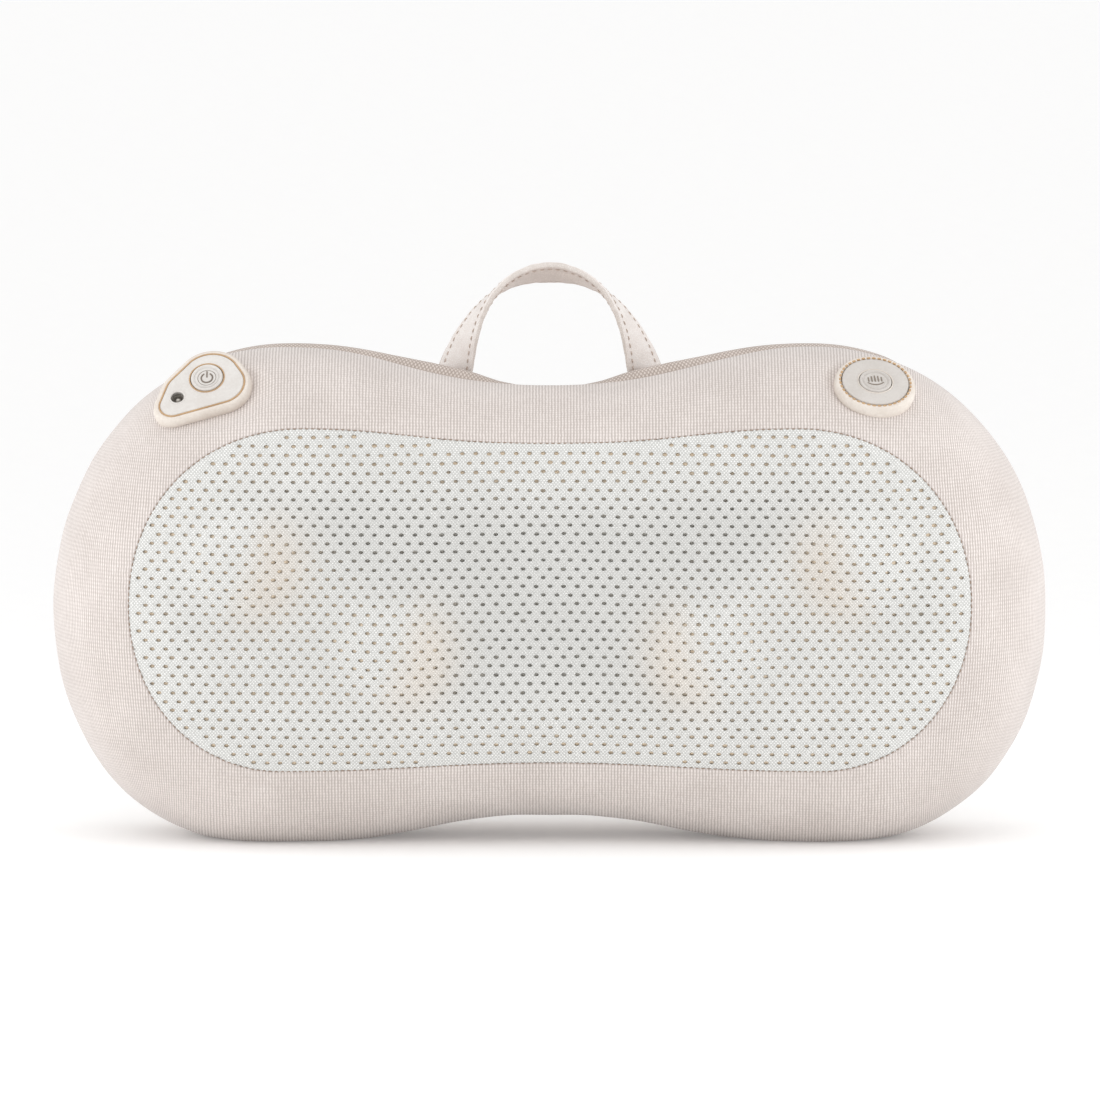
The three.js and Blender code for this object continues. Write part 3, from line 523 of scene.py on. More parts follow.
def stitches(name, spots, along, normal, length, width, material, sink=0.3):
    """Thread capsules lying on a surface, in one piece."""
    a, b, n = basis_from(normal, along)
    profile = [(-0.5, 0.0, -0.9), (-0.42, 0.34, -0.15), (-0.2, 0.5, 0.35), (0.2, 0.5, 0.35),
               (0.42, 0.34, -0.15), (0.5, 0.0, -0.9)]
    sides = 6
    points, faces = [], []
    for k in range(len(spots)):
        start = len(points)
        for share, radius, rise in profile:
            centre = spots[k] + a[k] * share * length + n[k] * (rise - sink) * width
            for j in range(sides):
                angle = TAU * j / sides
                around = b[k] * math.cos(angle) + n[k] * math.sin(angle)
                points.append(centre + around * max(radius, 0.12) * width)
        faces += [tuple(start + v for v in face) for face in strip_faces(len(profile), sides)]
        faces.append(tuple(start + j for j in reversed(range(sides))))
        top = start + (len(profile) - 1) * sides
        faces.append(tuple(top + j for j in range(sides)))
    return outward(build(name, points, faces, material))


def run_along(points):
    """Distance from the first of a line of points, or of each column of them."""
    steps = np.linalg.norm(np.diff(points, axis=0), axis=-1)
    return np.concatenate([np.zeros((1, *steps.shape[1:])), np.cumsum(steps, axis=0)])


def place_along(path, spacing, start=0.0, closed=False):
    """Evenly spaced places on a path: index before, share to the next, spot and direction."""
    path = np.concatenate([path, path[:1]]) if closed else path
    run = run_along(path)
    steps = np.diff(run)
    count = max(1, int(round((run[-1] - 2 * start) / spacing)))
    at = start + (np.arange(count) + 0.5) * (run[-1] - 2 * start) / count
    i = np.clip(np.searchsorted(run, at, side="right") - 1, 0, len(steps) - 1)
    share = (at - run[i]) / np.maximum(steps[i], 1e-9)
    return i, share, sample(path, i, share), unit(path[i + 1] - path[i])


def sample(values, i, share, closed=False):
    """Values along a path, read at places on it."""
    values = np.concatenate([values, values[:1]]) if closed else values
    return values[i] * (1 - share[:, None]) + values[i + 1] * share[:, None]


def ride(obj, body, *nodes, slot=None):
    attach(obj, body)
    if nodes:
        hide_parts(*nodes)
    return obj


# ------------------------------------------------------------------ the pillow's surface

STEPS = (4, 6, 6, 4)


def outline_of(shape, fine):
    """Closed outline from the top middle down the right side and back up the left."""
    (cx, cz), (sx, sz), (lx, lz) = shape["crest"], shape["side"], shape["lobe"]
    dip, waist = shape["dip"], shape["waist"]
    (ux, uz), (wx, wz) = shape["upper_round"], shape["lower_round"]
    stretches = [
        ((0, dip), (cx / 2, dip), (cx * 0.6, cz), (cx, cz)),
        ((cx, cz), (cx + ux * (sx - cx), cz), (sx, sz + uz * (cz - sz)), (sx, sz)),
        ((sx, sz), (sx, sz - wz * (sz - lz)), (lx + wx * (sx - lx), lz), (lx, lz)),
        ((lx, lz), (lx * 0.6, lz), (lx * 0.4, waist), (0, waist)),
    ]
    half = []
    for stretch, steps in zip(stretches, STEPS):
        a, b, c, d = (np.array(p, float) for p in stretch)
        t = (np.arange(steps * fine) / (steps * fine))[:, None]
        half.append((1 - t) ** 3 * a + 3 * (1 - t) ** 2 * t * b + 3 * (1 - t) * t * t * c
                    + t ** 3 * d)
    half = np.concatenate([*half, [[0, waist]]])
    left = half[1:-1][::-1] * [-1, 1]
    return np.concatenate([half, left])


def inward_of(outline):
    """Unit directions into a closed outline, at each of its points."""
    along = unit(np.roll(outline, -1, axis=0) - np.roll(outline, 1, axis=0))
    return np.stack([along[:, 1], -along[:, 0]], axis=1)


def shrunk(outline, distance):
    """The outline moved inward, or outward by a distance of less than nothing."""
    return outline + inward_of(outline) * distance


class Surface:
    """The pillow's outer surface at one fineness: station s over each point of the outline."""

    def __init__(self, fine):
        self.body = outline_of(BODY, fine)
        self.seam = outline_of(SEAM, fine)
        self.back = shrunk(self.body, BACK_INSET)
        self.count = len(self.body)

    def ring(self, station):
        """One ring of points: 1 is the window's seam, 0 the widest line, -1 the flat back."""
        s = np.broadcast_to(np.asarray(station, float), (self.count,))[:, None]
        body, seam, back = self.body, self.seam, self.back
        turn = np.clip(s, 0, 1) * SEAM_ANGLE
        share = (1 - np.cos(turn)) / (1 - math.cos(SEAM_ANGLE))
        front = body + (seam - body) * share
        front = front + (MIDDLE - seam) * np.clip(s - 1, 0, 1)
        depth = seam_depth(front[:, :1])
        front_y = WIDEST_Y - depth * np.sin(turn) / math.sin(SEAM_ANGLE)
        front_y = np.where(s > 1, WIDEST_Y - depth - CROWN * (1 - (2 - s) ** 2), front_y)
        fold = np.clip(-s, 0, 1) * math.pi / 2
        rear = body + (back - body) * (1 - np.cos(fold))
        rear = rear + (MIDDLE - back) * np.clip(-1 - s, 0, 1)
        rear_y = WIDEST_Y + BACK_DEPTH * np.sin(fold)
        flat, y = np.where(s >= 0, front, rear), np.where(s >= 0, front_y, rear_y)
        z = np.maximum(flat[:, 1:], 0)
        return np.concatenate([flat[:, :1], y, z], axis=1)

    def band_edge(self, edge):
        """Stations where a cover stops, and how much of the top tape shows at each point."""
        x, z = np.abs(self.body[:, 0]), self.body[:, 1]
        share = np.where(z < MIDDLE[1], 0, 1 - smoothstep(x, *BAND_REACH))
        return SEAM_REAR + (edge - SEAM_REAR) * share, share


def seam_depth(x):
    """How far the window's seam lies in front of the widest line."""
    return SEAM_DEPTH * (1 - WAIST_THINNING * np.exp(-(x / WAIST_WIDTH) ** 2))


def normals_of(grid):
    """Outward normals of a grid of rings by points."""
    down = np.gradient(grid, axis=0)
    around = np.roll(grid, -1, axis=1) - np.roll(grid, 1, axis=1)
    n = unit(np.cross(around, down))
    flip = np.sign(np.sum(n * (grid - CENTRE), axis=-1).mean())
    return n * flip


fine = Surface(14)

# ------------------------------------------------------------------ cloth simulation of a cover

SWELL_LIMIT = 1.8
SWELL_STEPS = 20
SWELL_SMOOTHINGS = 4
SIM_SHARE = 0.6


def swell(surface, stations, held):
    """How far each point of a cover moves out when it is stuffed. held marks pinned rings."""
    rings = [surface.ring(s) for s in stations]
    columns = surface.count
    cloth = build("swelling", np.concatenate(rings), strip_faces(len(rings), columns), KNIT)
    pinned = cloth.vertex_groups.new(name="held")
    for r, weight in enumerate(held):
        pinned.add(list(range(r * columns, (r + 1) * columns)), weight, "ADD")
    before = np.array([v.co for v in cloth.data.vertices])
    normal = normals_of(np.array(rings)).reshape(-1, 3)
    data = cloth.data
    data.update()
    if np.sum(np.array(data.vertices[columns * 2].normal) * normal[columns * 2]) < 0:
        data.flip_normals()
    settings = cloth.modifiers.new("cloth", "CLOTH").settings
    for key, value in dict(quality=6, mass=0.2, tension_stiffness=12, compression_stiffness=6,
                           shear_stiffness=4, bending_stiffness=0.25, use_pressure=True,
                           uniform_pressure_force=4, shrink_min=-0.018,
                           vertex_group_mass="held").items():
        setattr(settings, key, value)
    settings.effector_weights.gravity = 0
    for step in range(1, SWELL_STEPS + 1):
        bpy.context.scene.frame_set(step)
    view = bpy.context.evaluated_depsgraph_get()
    settled = cloth.evaluated_get(view)
    after = np.array([v.co for v in settled.data.vertices])
    bpy.context.scene.frame_set(1)
    bpy.data.objects.remove(cloth)
    out = np.sum((after - before) / MM * normal, axis=1).reshape(len(rings), columns)
    out = out - np.median(out, axis=1, keepdims=True) * 0.4
    for _ in range(SWELL_SMOOTHINGS):
        out = (np.roll(out, 1, axis=1) + 2 * out + np.roll(out, -1, axis=1)) / 4
    return np.clip(out, -SWELL_LIMIT, SWELL_LIMIT)


def resampled(field, stations, wanted, columns):
    """A coarse field over stations and points, read at finer ones."""
    order = np.argsort(stations)
    rows = np.array([np.interp(wanted, np.array(stations)[order], field[order, c])
                     for c in range(field.shape[1])]).T
    coarse = np.arange(field.shape[1] + 1) / field.shape[1]
    at = np.arange(columns) / columns
    return np.array([np.interp(at, coarse, np.append(row, row[0])) for row in rows])


def stuffed(stations, held, wanted):
    """The share of the simulated swelling that a cover takes, at its own stations."""
    coarse = Surface(6)
    field = swell(coarse, stations, held)
    return resampled(field * SIM_SHARE, stations, wanted, fine.count)


# ------------------------------------------------------------------ pod frames


class Pod:
    """A control pod's own frame: across, up and out of its face."""

    def __init__(self, x, z, elevation, sideways, roll, node):
        tilt, side = math.radians(elevation), math.radians(sideways)
        n = np.array([math.sin(side) * math.cos(tilt), -math.cos(side) * math.cos(tilt),
                      math.sin(tilt)])
        across = unit(np.cross([0, 0, 1.0], n))
        turn = math.radians(roll)
        across = across * math.cos(turn) + np.cross(n, across) * math.sin(turn)
        corners = np.array([v.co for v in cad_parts[node].data.vertices]) / MM
        highest = (corners @ n).max()
        y = (highest - (POD_TOP + 1.1) - x * n[0] - z * n[2]) / n[1]
        self.origin = np.array([x, y, z])
        self.axes = np.array([across, np.cross(n, across), n])

    def world(self, points):
        return self.origin + np.asarray(points, float) @ self.axes

    def local(self, points):
        return (np.asarray(points, float) - self.origin) @ self.axes.T


power_pod = Pod(**POWER_POD)
mode_pod = Pod(**MODE_POD)


def hull_reach(circles, margin, count):
    """Directions round, the circles' centres, their grown radii, and each one's reach."""
    angle = TAU * np.arange(count) / count
    facing = np.stack([np.cos(angle), np.sin(angle)], axis=1)
    centres = np.array([c[:2] for c in circles], float)
    radii = np.array([c[2] for c in circles], float) + margin
    return facing, centres, radii, facing @ centres.T + radii


def hull_ring(circles, margin, count=96):
    """Outline of the hull of circles grown by a margin, one point for each direction."""
    facing, centres, radii, reach = hull_reach(circles, margin, count)
    best = reach.argmax(axis=1)
    return centres[best] + facing * radii[best][:, None]


def raised(flat, height):
    """Flat points, with a third coordinate."""
    return np.concatenate([flat, np.full((len(flat), 1), height)], axis=1)


# ------------------------------------------------------------------ front cover

FRONT_STATIONS = np.concatenate([[1.0, 0.985, 0.96, 0.92], np.linspace(0.87, 0.0, 22),
                                 np.linspace(-0.03, SEAM_REAR, 5)])


def tuft(x, z):
    """Slow unevenness of stuffed cloth, in millimetres."""
    return (0.35 * np.sin(x * 0.043 + 1.3) * np.sin(z * 0.051 + 0.4)
            + 0.2 * np.sin(x * 0.11 + z * 0.07) * np.sin(z * 0.13 - 0.6))


def front_cover():
    """The knitted ring, its piece, and the line and normals of its seam with the window."""
    rear, _ = fine.band_edge(BAND_FRONT)
    grid = np.array([fine.ring(s / SEAM_REAR * rear if s < 0 else s) for s in FRONT_STATIONS])
    normal = normals_of(grid)
    coarse = [1.0, 0.93, 0.86, 0.76, 0.64, 0.52, 0.4, 0.28, 0.16, 0.06, -0.06, -0.19]
    held = [1, 0.85, 0.4, 0.1, 0, 0, 0, 0, 0, 0.1, 0.6, 1]
    push = stuffed(coarse, held, FRONT_STATIONS)
    from_seam = run_along(grid)
    swell_in = smoothstep(from_seam, 0, 14) * smoothstep(from_seam[-1] - from_seam, 0, 7)
    run = run_along(fine.seam)
    pucker = 0.16 * np.sin(run * TAU / 6.3 + 2 * np.sin(run * 0.031))
    pucker = pucker + 0.1 * np.sin(run * TAU / 11.7 + 1.0)
    near = np.exp(-((from_seam - 3.2) / 2.6) ** 2)
    lift = (tuft(grid[..., 0], grid[..., 2]) + push) * swell_in + pucker * near
    grid = grid + normal * (lift - 0.3 * np.exp(-(from_seam / 1.0) ** 2))[..., None]
    for pod, face in ((power_pod, POWER_FACE), (mode_pod, MODE_FACE)):
        grid = drawn_down(grid, pod, face)
    tuck = [grid[0] + [0, back, 0] + seam_inward() * inward
            for back, inward in ((3.2, 0.5), (1.0, 0.35))]
    hem = [grid[-1] - normal[-1] * deep for deep in (1.0, 2.6)]
    whole = np.concatenate([np.array(tuck), grid, np.array(hem)])
    uv = np.array(unrolled(whole, fine.seam))
    points = whole.reshape(-1, 3)
    faces = strip_faces(len(whole), fine.count)
    faces = without_pods(points, faces)
    cover = build("front_fabric", points, faces, KNIT, uv=uv.reshape(-1, 2))
    point_out(cover)
    thicken(cover, 1.2)
    return cover, grid[0], normal[0]


def unrolled(rings, start):
    """Cloth coordinates that keep the ribs upright and at their true spacing on every side."""
    facing = -inward_of(start)
    side = smoothstep(np.abs(facing[:, 0]), 0.35, 0.9)
    made = [start.copy()]
    for before, after in zip(rings, rings[1:]):
        dx, dy, dz = (after - before).T
        across = (1 - side) * dx + side * np.sign(facing[:, 0]) * np.hypot(dx, dy)
        up = side * dz + (1 - side) * np.sign(facing[:, 1]) * np.hypot(dz, dy)
        made.append(made[-1] + np.stack([across, up], axis=1))
    return made


def seam_inward():
    """Directions from the window's seam towards its middle, in space."""
    flat = inward_of(fine.seam)
    return np.stack([flat[:, 0], np.zeros(len(flat)), flat[:, 1]], axis=1)


def beyond_outline(flat, circles, margin):
    """How far points of a pod's face lie outside the hull of circles."""
    facing, _, _, reach = hull_reach(circles, margin, 72)
    return (flat @ facing.T - reach.max(axis=1)).max(axis=-1)


DRAWN_REACH = 26


def drawn_down(grid, pod, circles):
    """The cloth pulled down under a pod's rim, and let back up over a short way round it."""
    local = pod.local(grid)
    beyond = beyond_outline(local[..., :2], circles, POD_RIM)
    limit = -0.7 + 0.34 * np.maximum(beyond - 0.5, 0) ** 1.15
    near = (beyond < DRAWN_REACH) & (np.abs(local[..., 2]) < 18)
    drop = np.where(near, np.maximum(local[..., 2] - limit, 0), 0)
    drop = drop * (1 - smoothstep(beyond, 14, DRAWN_REACH))
    return grid - drop[..., None] * pod.axes[2]


def without_pods(points, faces):
    """Faces wholly under a pod's rim left out."""
    covered = np.zeros(len(points), bool)
    for pod, face in ((power_pod, POWER_FACE), (mode_pod, MODE_FACE)):
        local = pod.local(points)
        centres = np.array([c[:2] for c in face], float)
        ring = hull_ring(face, POD_RIM - 0.5, 48)
        inside = in_outline(local[:, :2], ring) & (np.abs(local[:, 2]) < 12)
        covered |= inside & (np.linalg.norm(local[:, :2] - centres.mean(0), axis=1) < 40)
    return [f for f in faces if not all(covered[i] for i in f)]


def in_outline(points, outline):
    """Which points lie in a closed outline."""
    x, y = points[:, 0], points[:, 1]
    inside = np.zeros(len(points), bool)
    for a, b in zip(outline, np.roll(outline, -1, axis=0)):
        if a[1] == b[1]:
            continue
        crosses = (a[1] > y) != (b[1] > y)
        inside ^= crosses & (x < a[0] + (b[0] - a[0]) * (y - a[1]) / (b[1] - a[1]))
    return inside


def point_out(obj):
    """The faces of an open shell turned away from the pillow's middle."""
    data = obj.data
    data.update()
    middle = CENTRE * MM
    votes = sum(np.sign(np.dot(p.normal, np.array(p.center) - middle))
                for p in list(data.polygons)[::7])
    if votes < 0:
        data.flip_normals()
    return obj


# ------------------------------------------------------------------ height of the mesh window

PITCH_X = 5.14
PITCH_Z = 3.38
CELL_SIDE = (PITCH_Z ** 2 - PITCH_X ** 2 / 4) / (2 * PITCH_Z)
CELL_TOP = (PITCH_X ** 2 / 4 + PITCH_Z ** 2) / (2 * PITCH_Z)
FULLNESS = 3.4
GRID = 2.0
GRID_X = np.arange(-170, 171, GRID)
GRID_Z = np.arange(20, 176, GRID)


def window_base(x, z):
    """How far forward the taut window would lie, and the share of the way out to its seam."""
    flat = np.stack([x, z], axis=-1) - MIDDLE
    seam = fine.seam - MIDDLE
    turn = np.arctan2(seam[:, 1], seam[:, 0])
    order = np.argsort(turn)
    reach = np.interp(np.arctan2(flat[..., 1], flat[..., 0]), turn[order],
                      np.linalg.norm(seam, axis=1)[order], period=TAU)
    out = np.linalg.norm(flat, axis=-1) / reach
    return -(WIDEST_Y - seam_depth(x) - CROWN * (1 - out ** FULLNESS)), out


OUTER_HEAD_TOP = 58.0
INNER_HEAD_TOP = 58.4
CAP_RADIUS = 26
CLOTH_PULL = 0.035
RELAXINGS = 1500
PRESSED_OUTLINE = [(119, 108, 12), (66, 74, 10), (118, 64, 8)]


def neighbours_mean(u, own):
    """Each inner value of a grid taken to the mean of its four neighbours and own times itself."""
    mean = u.copy()
    mean[1:-1, 1:-1] = (u[:-2, 1:-1] + u[2:, 1:-1] + u[1:-1, :-2] + u[1:-1, 2:]
                        + own * u[1:-1, 1:-1]) / (4 + own)
    return mean


def window_field():
    """Forward reach of the window's cloth, stretched over four massage heads, on a grid."""
    x, z = np.meshgrid(GRID_X, GRID_Z, indexing="ij")
    base, out = window_base(x, z)
    nearest = nearest_on(np.stack([x.ravel(), z.ravel()], axis=1), fine.seam)[1]
    depth = nearest.reshape(x.shape)
    floor = base - 5.0 * smoothstep(depth, 12, 48)
    heads = np.full_like(base, -1e3)
    for hx, hz in HEAD_SPOTS:
        far = np.hypot(x - hx, z - hz)
        top = OUTER_HEAD_TOP if abs(hx) > 90 else INNER_HEAD_TOP
        cap = top - (CAP_RADIUS - np.sqrt(np.maximum(CAP_RADIUS ** 2 - far ** 2, 0)))
        heads = np.maximum(heads, np.where(far < HEAD_RADIUS + 1, cap, -1e3))
    inside = out < 1
    u = np.where(inside, base - 2, base)
    for _ in range(RELAXINGS):
        mean = neighbours_mean(u, 0)
        relaxed = np.maximum(np.maximum(mean - CLOTH_PULL, floor), heads)
        u = np.where(inside, relaxed, base)
    for _ in range(4):
        u = np.where(inside, neighbours_mean(u, 2), base)
    # Tan over the heads, and painted warm shade as a crescent on the side of each head facing the
    # middle.
    heads, glow = np.zeros_like(base), np.zeros_like(base)
    for hx, hz in HEAD_SPOTS:
        far = np.hypot(x - hx, z - hz)
        heads = np.maximum(heads, np.exp(-(far / 25) ** 2))
        facing = ((hx - x) * np.sign(hx) + (hz - z) * 0.35) / np.maximum(far, 1)
        glow = np.maximum(glow, np.exp(-((far - 16) / 11) ** 2) * np.clip(facing, 0, 1) ** 0.8)
    pressed = beyond_outline(np.stack([np.abs(x), z], axis=-1), PRESSED_OUTLINE, 0)
    heads = np.maximum(heads, 0.85 * (1 - smoothstep(pressed, 0, 24)))
    warm = np.maximum(heads, 1 - smoothstep(depth, 6, 34))
    # Painted shade in the valleys: how far the cloth sits below its taut line, less over the heads
    # and near the seam.
    hollow = smoothstep(base - u, -1.5, 4.5) * (1 - 0.8 * heads) * smoothstep(depth, 4, 30)
    return u, warm, glow, hollow


def read_grid(values, x, z):
    """Bilinear reading of a grid of values."""
    i = np.clip((x - GRID_X[0]) / GRID, 0, len(GRID_X) - 1.001)
    j = np.clip((z - GRID_Z[0]) / GRID, 0, len(GRID_Z) - 1.001)
    a, b = i.astype(int), j.astype(int)
    s, t = i - a, j - b
    return ((values[a, b] * (1 - s) + values[a + 1, b] * s) * (1 - t)
            + (values[a, b + 1] * (1 - s) + values[a + 1, b + 1] * s) * t)


def nearest_on(points, outline):
    """Nearest place of each point on a closed outline, and how far inside it the point is."""
    place, best = np.zeros_like(points), np.full(len(points), np.inf)
    for a, b in zip(outline, np.roll(outline, -1, axis=0)):
        along = b - a
        t = np.clip((points - a) @ along / max(along @ along, 1e-12), 0, 1)
        spot = a + t[:, None] * along
        far = np.linalg.norm(points - spot, axis=1)
        closer = far < best
        best[closer] = far[closer]
        place[closer] = spot[closer]
    return place, np.where(in_outline(points, outline), best, -best)


FORWARD, WARMTH, PAINTED_CRESCENT_SHADE, PAINTED_VALLEY_SHADE = window_field()


def window_point(flat, inset=0.0):
    """Places on the stretched window, or an inset behind it, over flat x and z."""
    y = -read_grid(FORWARD, flat[:, 0], flat[:, 1]) + inset
    return np.stack([flat[:, 0], y, flat[:, 1]], axis=1)


# ------------------------------------------------------------------ mesh window

HOLE_HALF = (0.88, 0.61)


def mesh_window():
    """The knitted mesh: a hexagonal cell round every hole, in real cloth thickness."""
    edge = shrunk(fine.seam, -0.8)
    columns = np.arange(-34, 35)
    rows = np.arange(-22, 23)
    i, j = np.meshgrid(columns, rows, indexing="ij")
    x = (i + 0.5 * (j % 2)) * PITCH_X
    z = MIDDLE[1] + j * PITCH_Z + 0.5
    centres = np.stack([x.ravel(), z.ravel()], axis=1)
    inside = nearest_on(centres, edge)[1]
    centres, inside = centres[inside > -2.4], inside[inside > -2.4]
    holed = inside > 3.2
    half = PITCH_X / 2
    rise = (CELL_SIDE + CELL_TOP) / 2
    cell = np.array([(half, 0), (half, CELL_SIDE), (half / 2, rise), (0, CELL_TOP),
                     (-half / 2, rise), (-half, CELL_SIDE), (-half, 0), (-half, -CELL_SIDE),
                     (-half / 2, -rise), (0, -CELL_TOP), (half / 2, -rise),
                     (half, -CELL_SIDE)])
    turn = np.arctan2(cell[:, 1] / CELL_TOP, cell[:, 0] / half)
    hole = np.stack([HOLE_HALF[0] * np.cos(turn), HOLE_HALF[1] * np.sin(turn)], axis=1)
    outer = (centres[:, None] + cell).reshape(-1, 2)
    keys = np.round(outer * 20).astype(int)
    _, first, which = np.unique(keys, axis=0, return_index=True, return_inverse=True)
    which = which.reshape(-1, 12)
    shared = outer[first]
    spot, deep = nearest_on(shared, edge)
    shared = np.where((deep < 0.5)[:, None], spot, shared)
    lean = rng.normal(0, 0.09, (len(centres), 1, 2))
    size = 1 + rng.normal(0, 0.05, (len(centres), 1, 1))
    middle_ring = centres[:, None] + lean + hole * size * 1.42
    hole_ring = centres[:, None] + lean + hole * size
    flats, lifts = [shared], [np.zeros(len(shared))]
    faces = []
    start = len(shared)
    for k in range(len(centres)):
        around = which[k]
        if holed[k]:
            flats += [middle_ring[k], hole_ring[k]]
            lifts += [np.full(12, 0.14), np.full(12, -0.22)]
            mid, rim = start, start + 12
            start += 24
            for a in range(12):
                b = (a + 1) % 12
                faces.append((around[a], around[b], mid + b, mid + a))
                faces.append((mid + a, mid + b, rim + b, rim + a))
        else:
            if (deep[around] < 0.5).sum() > 10:
                continue
            spot_k = centres[k] if inside[k] > 0.8 else shared[around].mean(axis=0)
            flats.append(spot_k[None])
            lifts.append(np.zeros(1))
            faces += [(around[a], around[(a + 1) % 12], start) for a in range(12)]
            start += 1
    flat, lift = np.concatenate(flats), np.concatenate(lifts)
    points = window_point(flat)
    points[:, 1] -= lift
    rolled = 1 - smoothstep(nearest_on(flat, edge)[1], 0, 1.6)
    points[:, 1] += 1.1 * rolled
    # The painted warm shade of the heads and the painted shade of the valleys, read at every point
    # of the mesh.
    tones = {name: read_grid(values, flat[:, 0], flat[:, 1])
             for name, values in (("glow", PAINTED_CRESCENT_SHADE), ("hollow", PAINTED_VALLEY_SHADE))}
    window = build("mesh_fabric", points, faces, MESH, uv=flat, tones=tones)
    with edited(window.data) as work:
        bmesh.ops.remove_doubles(work, verts=work.verts, dist=0.04 * MM)
        bmesh.ops.dissolve_degenerate(work, edges=work.edges, dist=0.02 * MM)
        loose = [v for v in work.verts if not v.link_faces]
        bmesh.ops.delete(work, geom=loose, context="VERTS")
    point_out(window)
    window.data.polygons.foreach_set("use_smooth", [True] * len(window.data.polygons))
    area = sum(p.area for p in window.data.polygons)
    thicken(window, 0.6)
    return window, area


def mesh_backing():
    """The soft layer just behind the mesh."""
    edge = shrunk(fine.seam, 0.8)
    shares = np.concatenate([[0.0, 0.02, 0.05], np.linspace(0.09, 0.97, 34)])
    flats = np.concatenate([edge + (MIDDLE - edge) * s for s in shares] + [[MIDDLE]])
    warm = read_grid(WARMTH, flats[:, 0], flats[:, 1])
    points = window_point(flats, 1.25)
    points[:, 1] -= 0.3 * warm
    points[:, 1] += 0.12 * np.sin(flats[:, 0] * 0.7) * np.sin(flats[:, 1] * 0.8)
    faces = strip_faces(len(shares), len(edge))
    faces += fan_faces((len(shares) - 1) * len(edge), len(edge), len(flats) - 1)
    backing = build("mesh_backing", points, faces, BACKING, uv=flats, tones={"warmth": warm})
    point_out(backing)
    area = sum(p.area for p in backing.data.polygons)
    thicken(backing, 1.0)
    return backing, area


# ------------------------------------------------------------------ back cover

BACK_FULL = -0.45
BACK_STATIONS = np.concatenate([np.linspace(SEAM_REAR, -0.4, 8),
                                np.linspace(BACK_FULL, -1.0, 16), np.linspace(-1.06, -1.98, 20)])
FOLD_ROWS = 24


def back_cover():
    """The padded back, with a flat strip for the zip."""
    front_edge, _ = fine.band_edge(BAND_REAR)
    rings = []
    for s in BACK_STATIONS:
        share = (s - SEAM_REAR) / (BACK_FULL - SEAM_REAR)
        joining = front_edge + share * (BACK_FULL - front_edge)
        rings.append(fine.ring(joining if s > BACK_FULL else s))
    grid = np.array(rings)
    normal = normals_of(grid)
    coarse = [-0.19, -0.24, -0.32, -0.42, -0.54, -0.68, -0.84, -1.0, -1.2, -1.45, -1.7, -1.96]
    held = [1, 0.7, 0.2, 0, 0, 0, 0.2, 0.5, 0.7, 0.8, 0.9, 1]
    push = stuffed(coarse, held, BACK_STATIONS)
    from_edge = run_along(grid)
    swell_in = smoothstep(from_edge, 0, 8)
    x, z = grid[..., 0], grid[..., 2]
    by_zip = (1 - smoothstep(np.abs(z - ZIP_Z), 12, 22)) * (1 - smoothstep(abs(x), 116, 128))
    by_zip = np.where(grid[..., 1] > BACK_Y - 4, by_zip, 0)
    lift = (tuft(x + 40, z) + push) * swell_in * (1 - by_zip)
    crown = 2.2 * smoothstep(-BACK_STATIONS, 0.95, 1.6)[:, None] * smoothstep(z, 66, 96)
    lift = lift + crown - 1.0 * np.exp(-(from_edge / 1.9) ** 2) - 0.5 * by_zip
    grid = grid + normal * lift[..., None]
    whole = np.concatenate([[grid[0] - normal[0] * deep for deep in (2.6, 1.0)], grid])
    flat_out = -inward_of(fine.back)
    rows = []
    for r in range(len(whole)):
        if r < FOLD_ROWS + 2:
            run = from_edge[FOLD_ROWS - 1] - from_edge[max(r - 2, 0)]
            rows.append(fine.back + flat_out * run[:, None])
        else:
            rows.append(whole[r][:, [0, 2]])
    centre = whole[-1].mean(axis=0)
    points = np.concatenate([whole.reshape(-1, 3), [centre]])
    uv = np.concatenate([np.array(rows).reshape(-1, 2), [centre[[0, 2]]]])
    faces = strip_faces(len(whole), fine.count)
    faces += fan_faces((len(whole) - 1) * fine.count, fine.count, len(points) - 1)
    cover = build("back_fabric", points, faces, BACK_KNIT, uv=uv)
    point_out(cover)
    thicken(cover, 1.2)
    return cover


# ------------------------------------------------------------------ top tape and rear welt

TAPE_RISE = [(0, 0.1), (12, 0.3), (20, 1.4), (28, 3.2), (34, 4.0), (46, 4.2), (54, 3.8),
             (62, 3.3), (90, 2.2), (125, 1.2), (150, 0.3)]


def tape_rise(x):
    """How far the tape stands above the covers."""
    return np.interp(abs(x), *zip(*TAPE_RISE))


def top_tape():
    """The taupe tape that shows above the front cover's top edge."""
    front, share = fine.band_edge(BAND_FRONT)
    rear, _ = fine.band_edge(BAND_REAR)
    use = np.flatnonzero(share > 0.12)
    use = use[np.argsort(fine.body[use, 0])]
    profile = [(-0.12, -2.2), (-0.08, -0.9), (0.06, -0.1), (0.22, 0.35), (0.42, 0.55),
               (0.6, 0.5), (0.78, 0.2), (0.94, -0.4), (1.06, -1.4), (1.08, -2.4)]
    rings, uv = [], []
    run = 0.0
    previous = None
    for i in use:
        rise = tape_rise(fine.body[i, 0]) * smoothstep(share[i], 0.1, 0.6)
        ring = []
        for over, lift in profile:
            station = front[i] + (rear[i] - front[i]) * over
            bulge = math.sin(math.pi * min(max(over, 0), 1)) ** 0.7
            inset = -(lift + (rise - 0.5) * bulge) if lift > -0.6 else -lift
            ring.append(fine_point(i, station, inset))
        rings.append(np.array(ring))
        here = rings[-1].mean(axis=0)
        run += 0 if previous is None else np.linalg.norm(here - previous)
        previous = here
        uv.append(np.array([(run, k * 1.4) for k in range(len(profile))]))
    rings = [np.concatenate([ring, [fine_point(i, (front[i] + rear[i]) / 2, 3.4)]])
             for i, ring in zip(use, rings)]
    uv = [np.concatenate([u, u[-1:] + 1.4]) for u in uv]
    return loft("top_tape", rings, TAPE, uv=np.concatenate(uv))


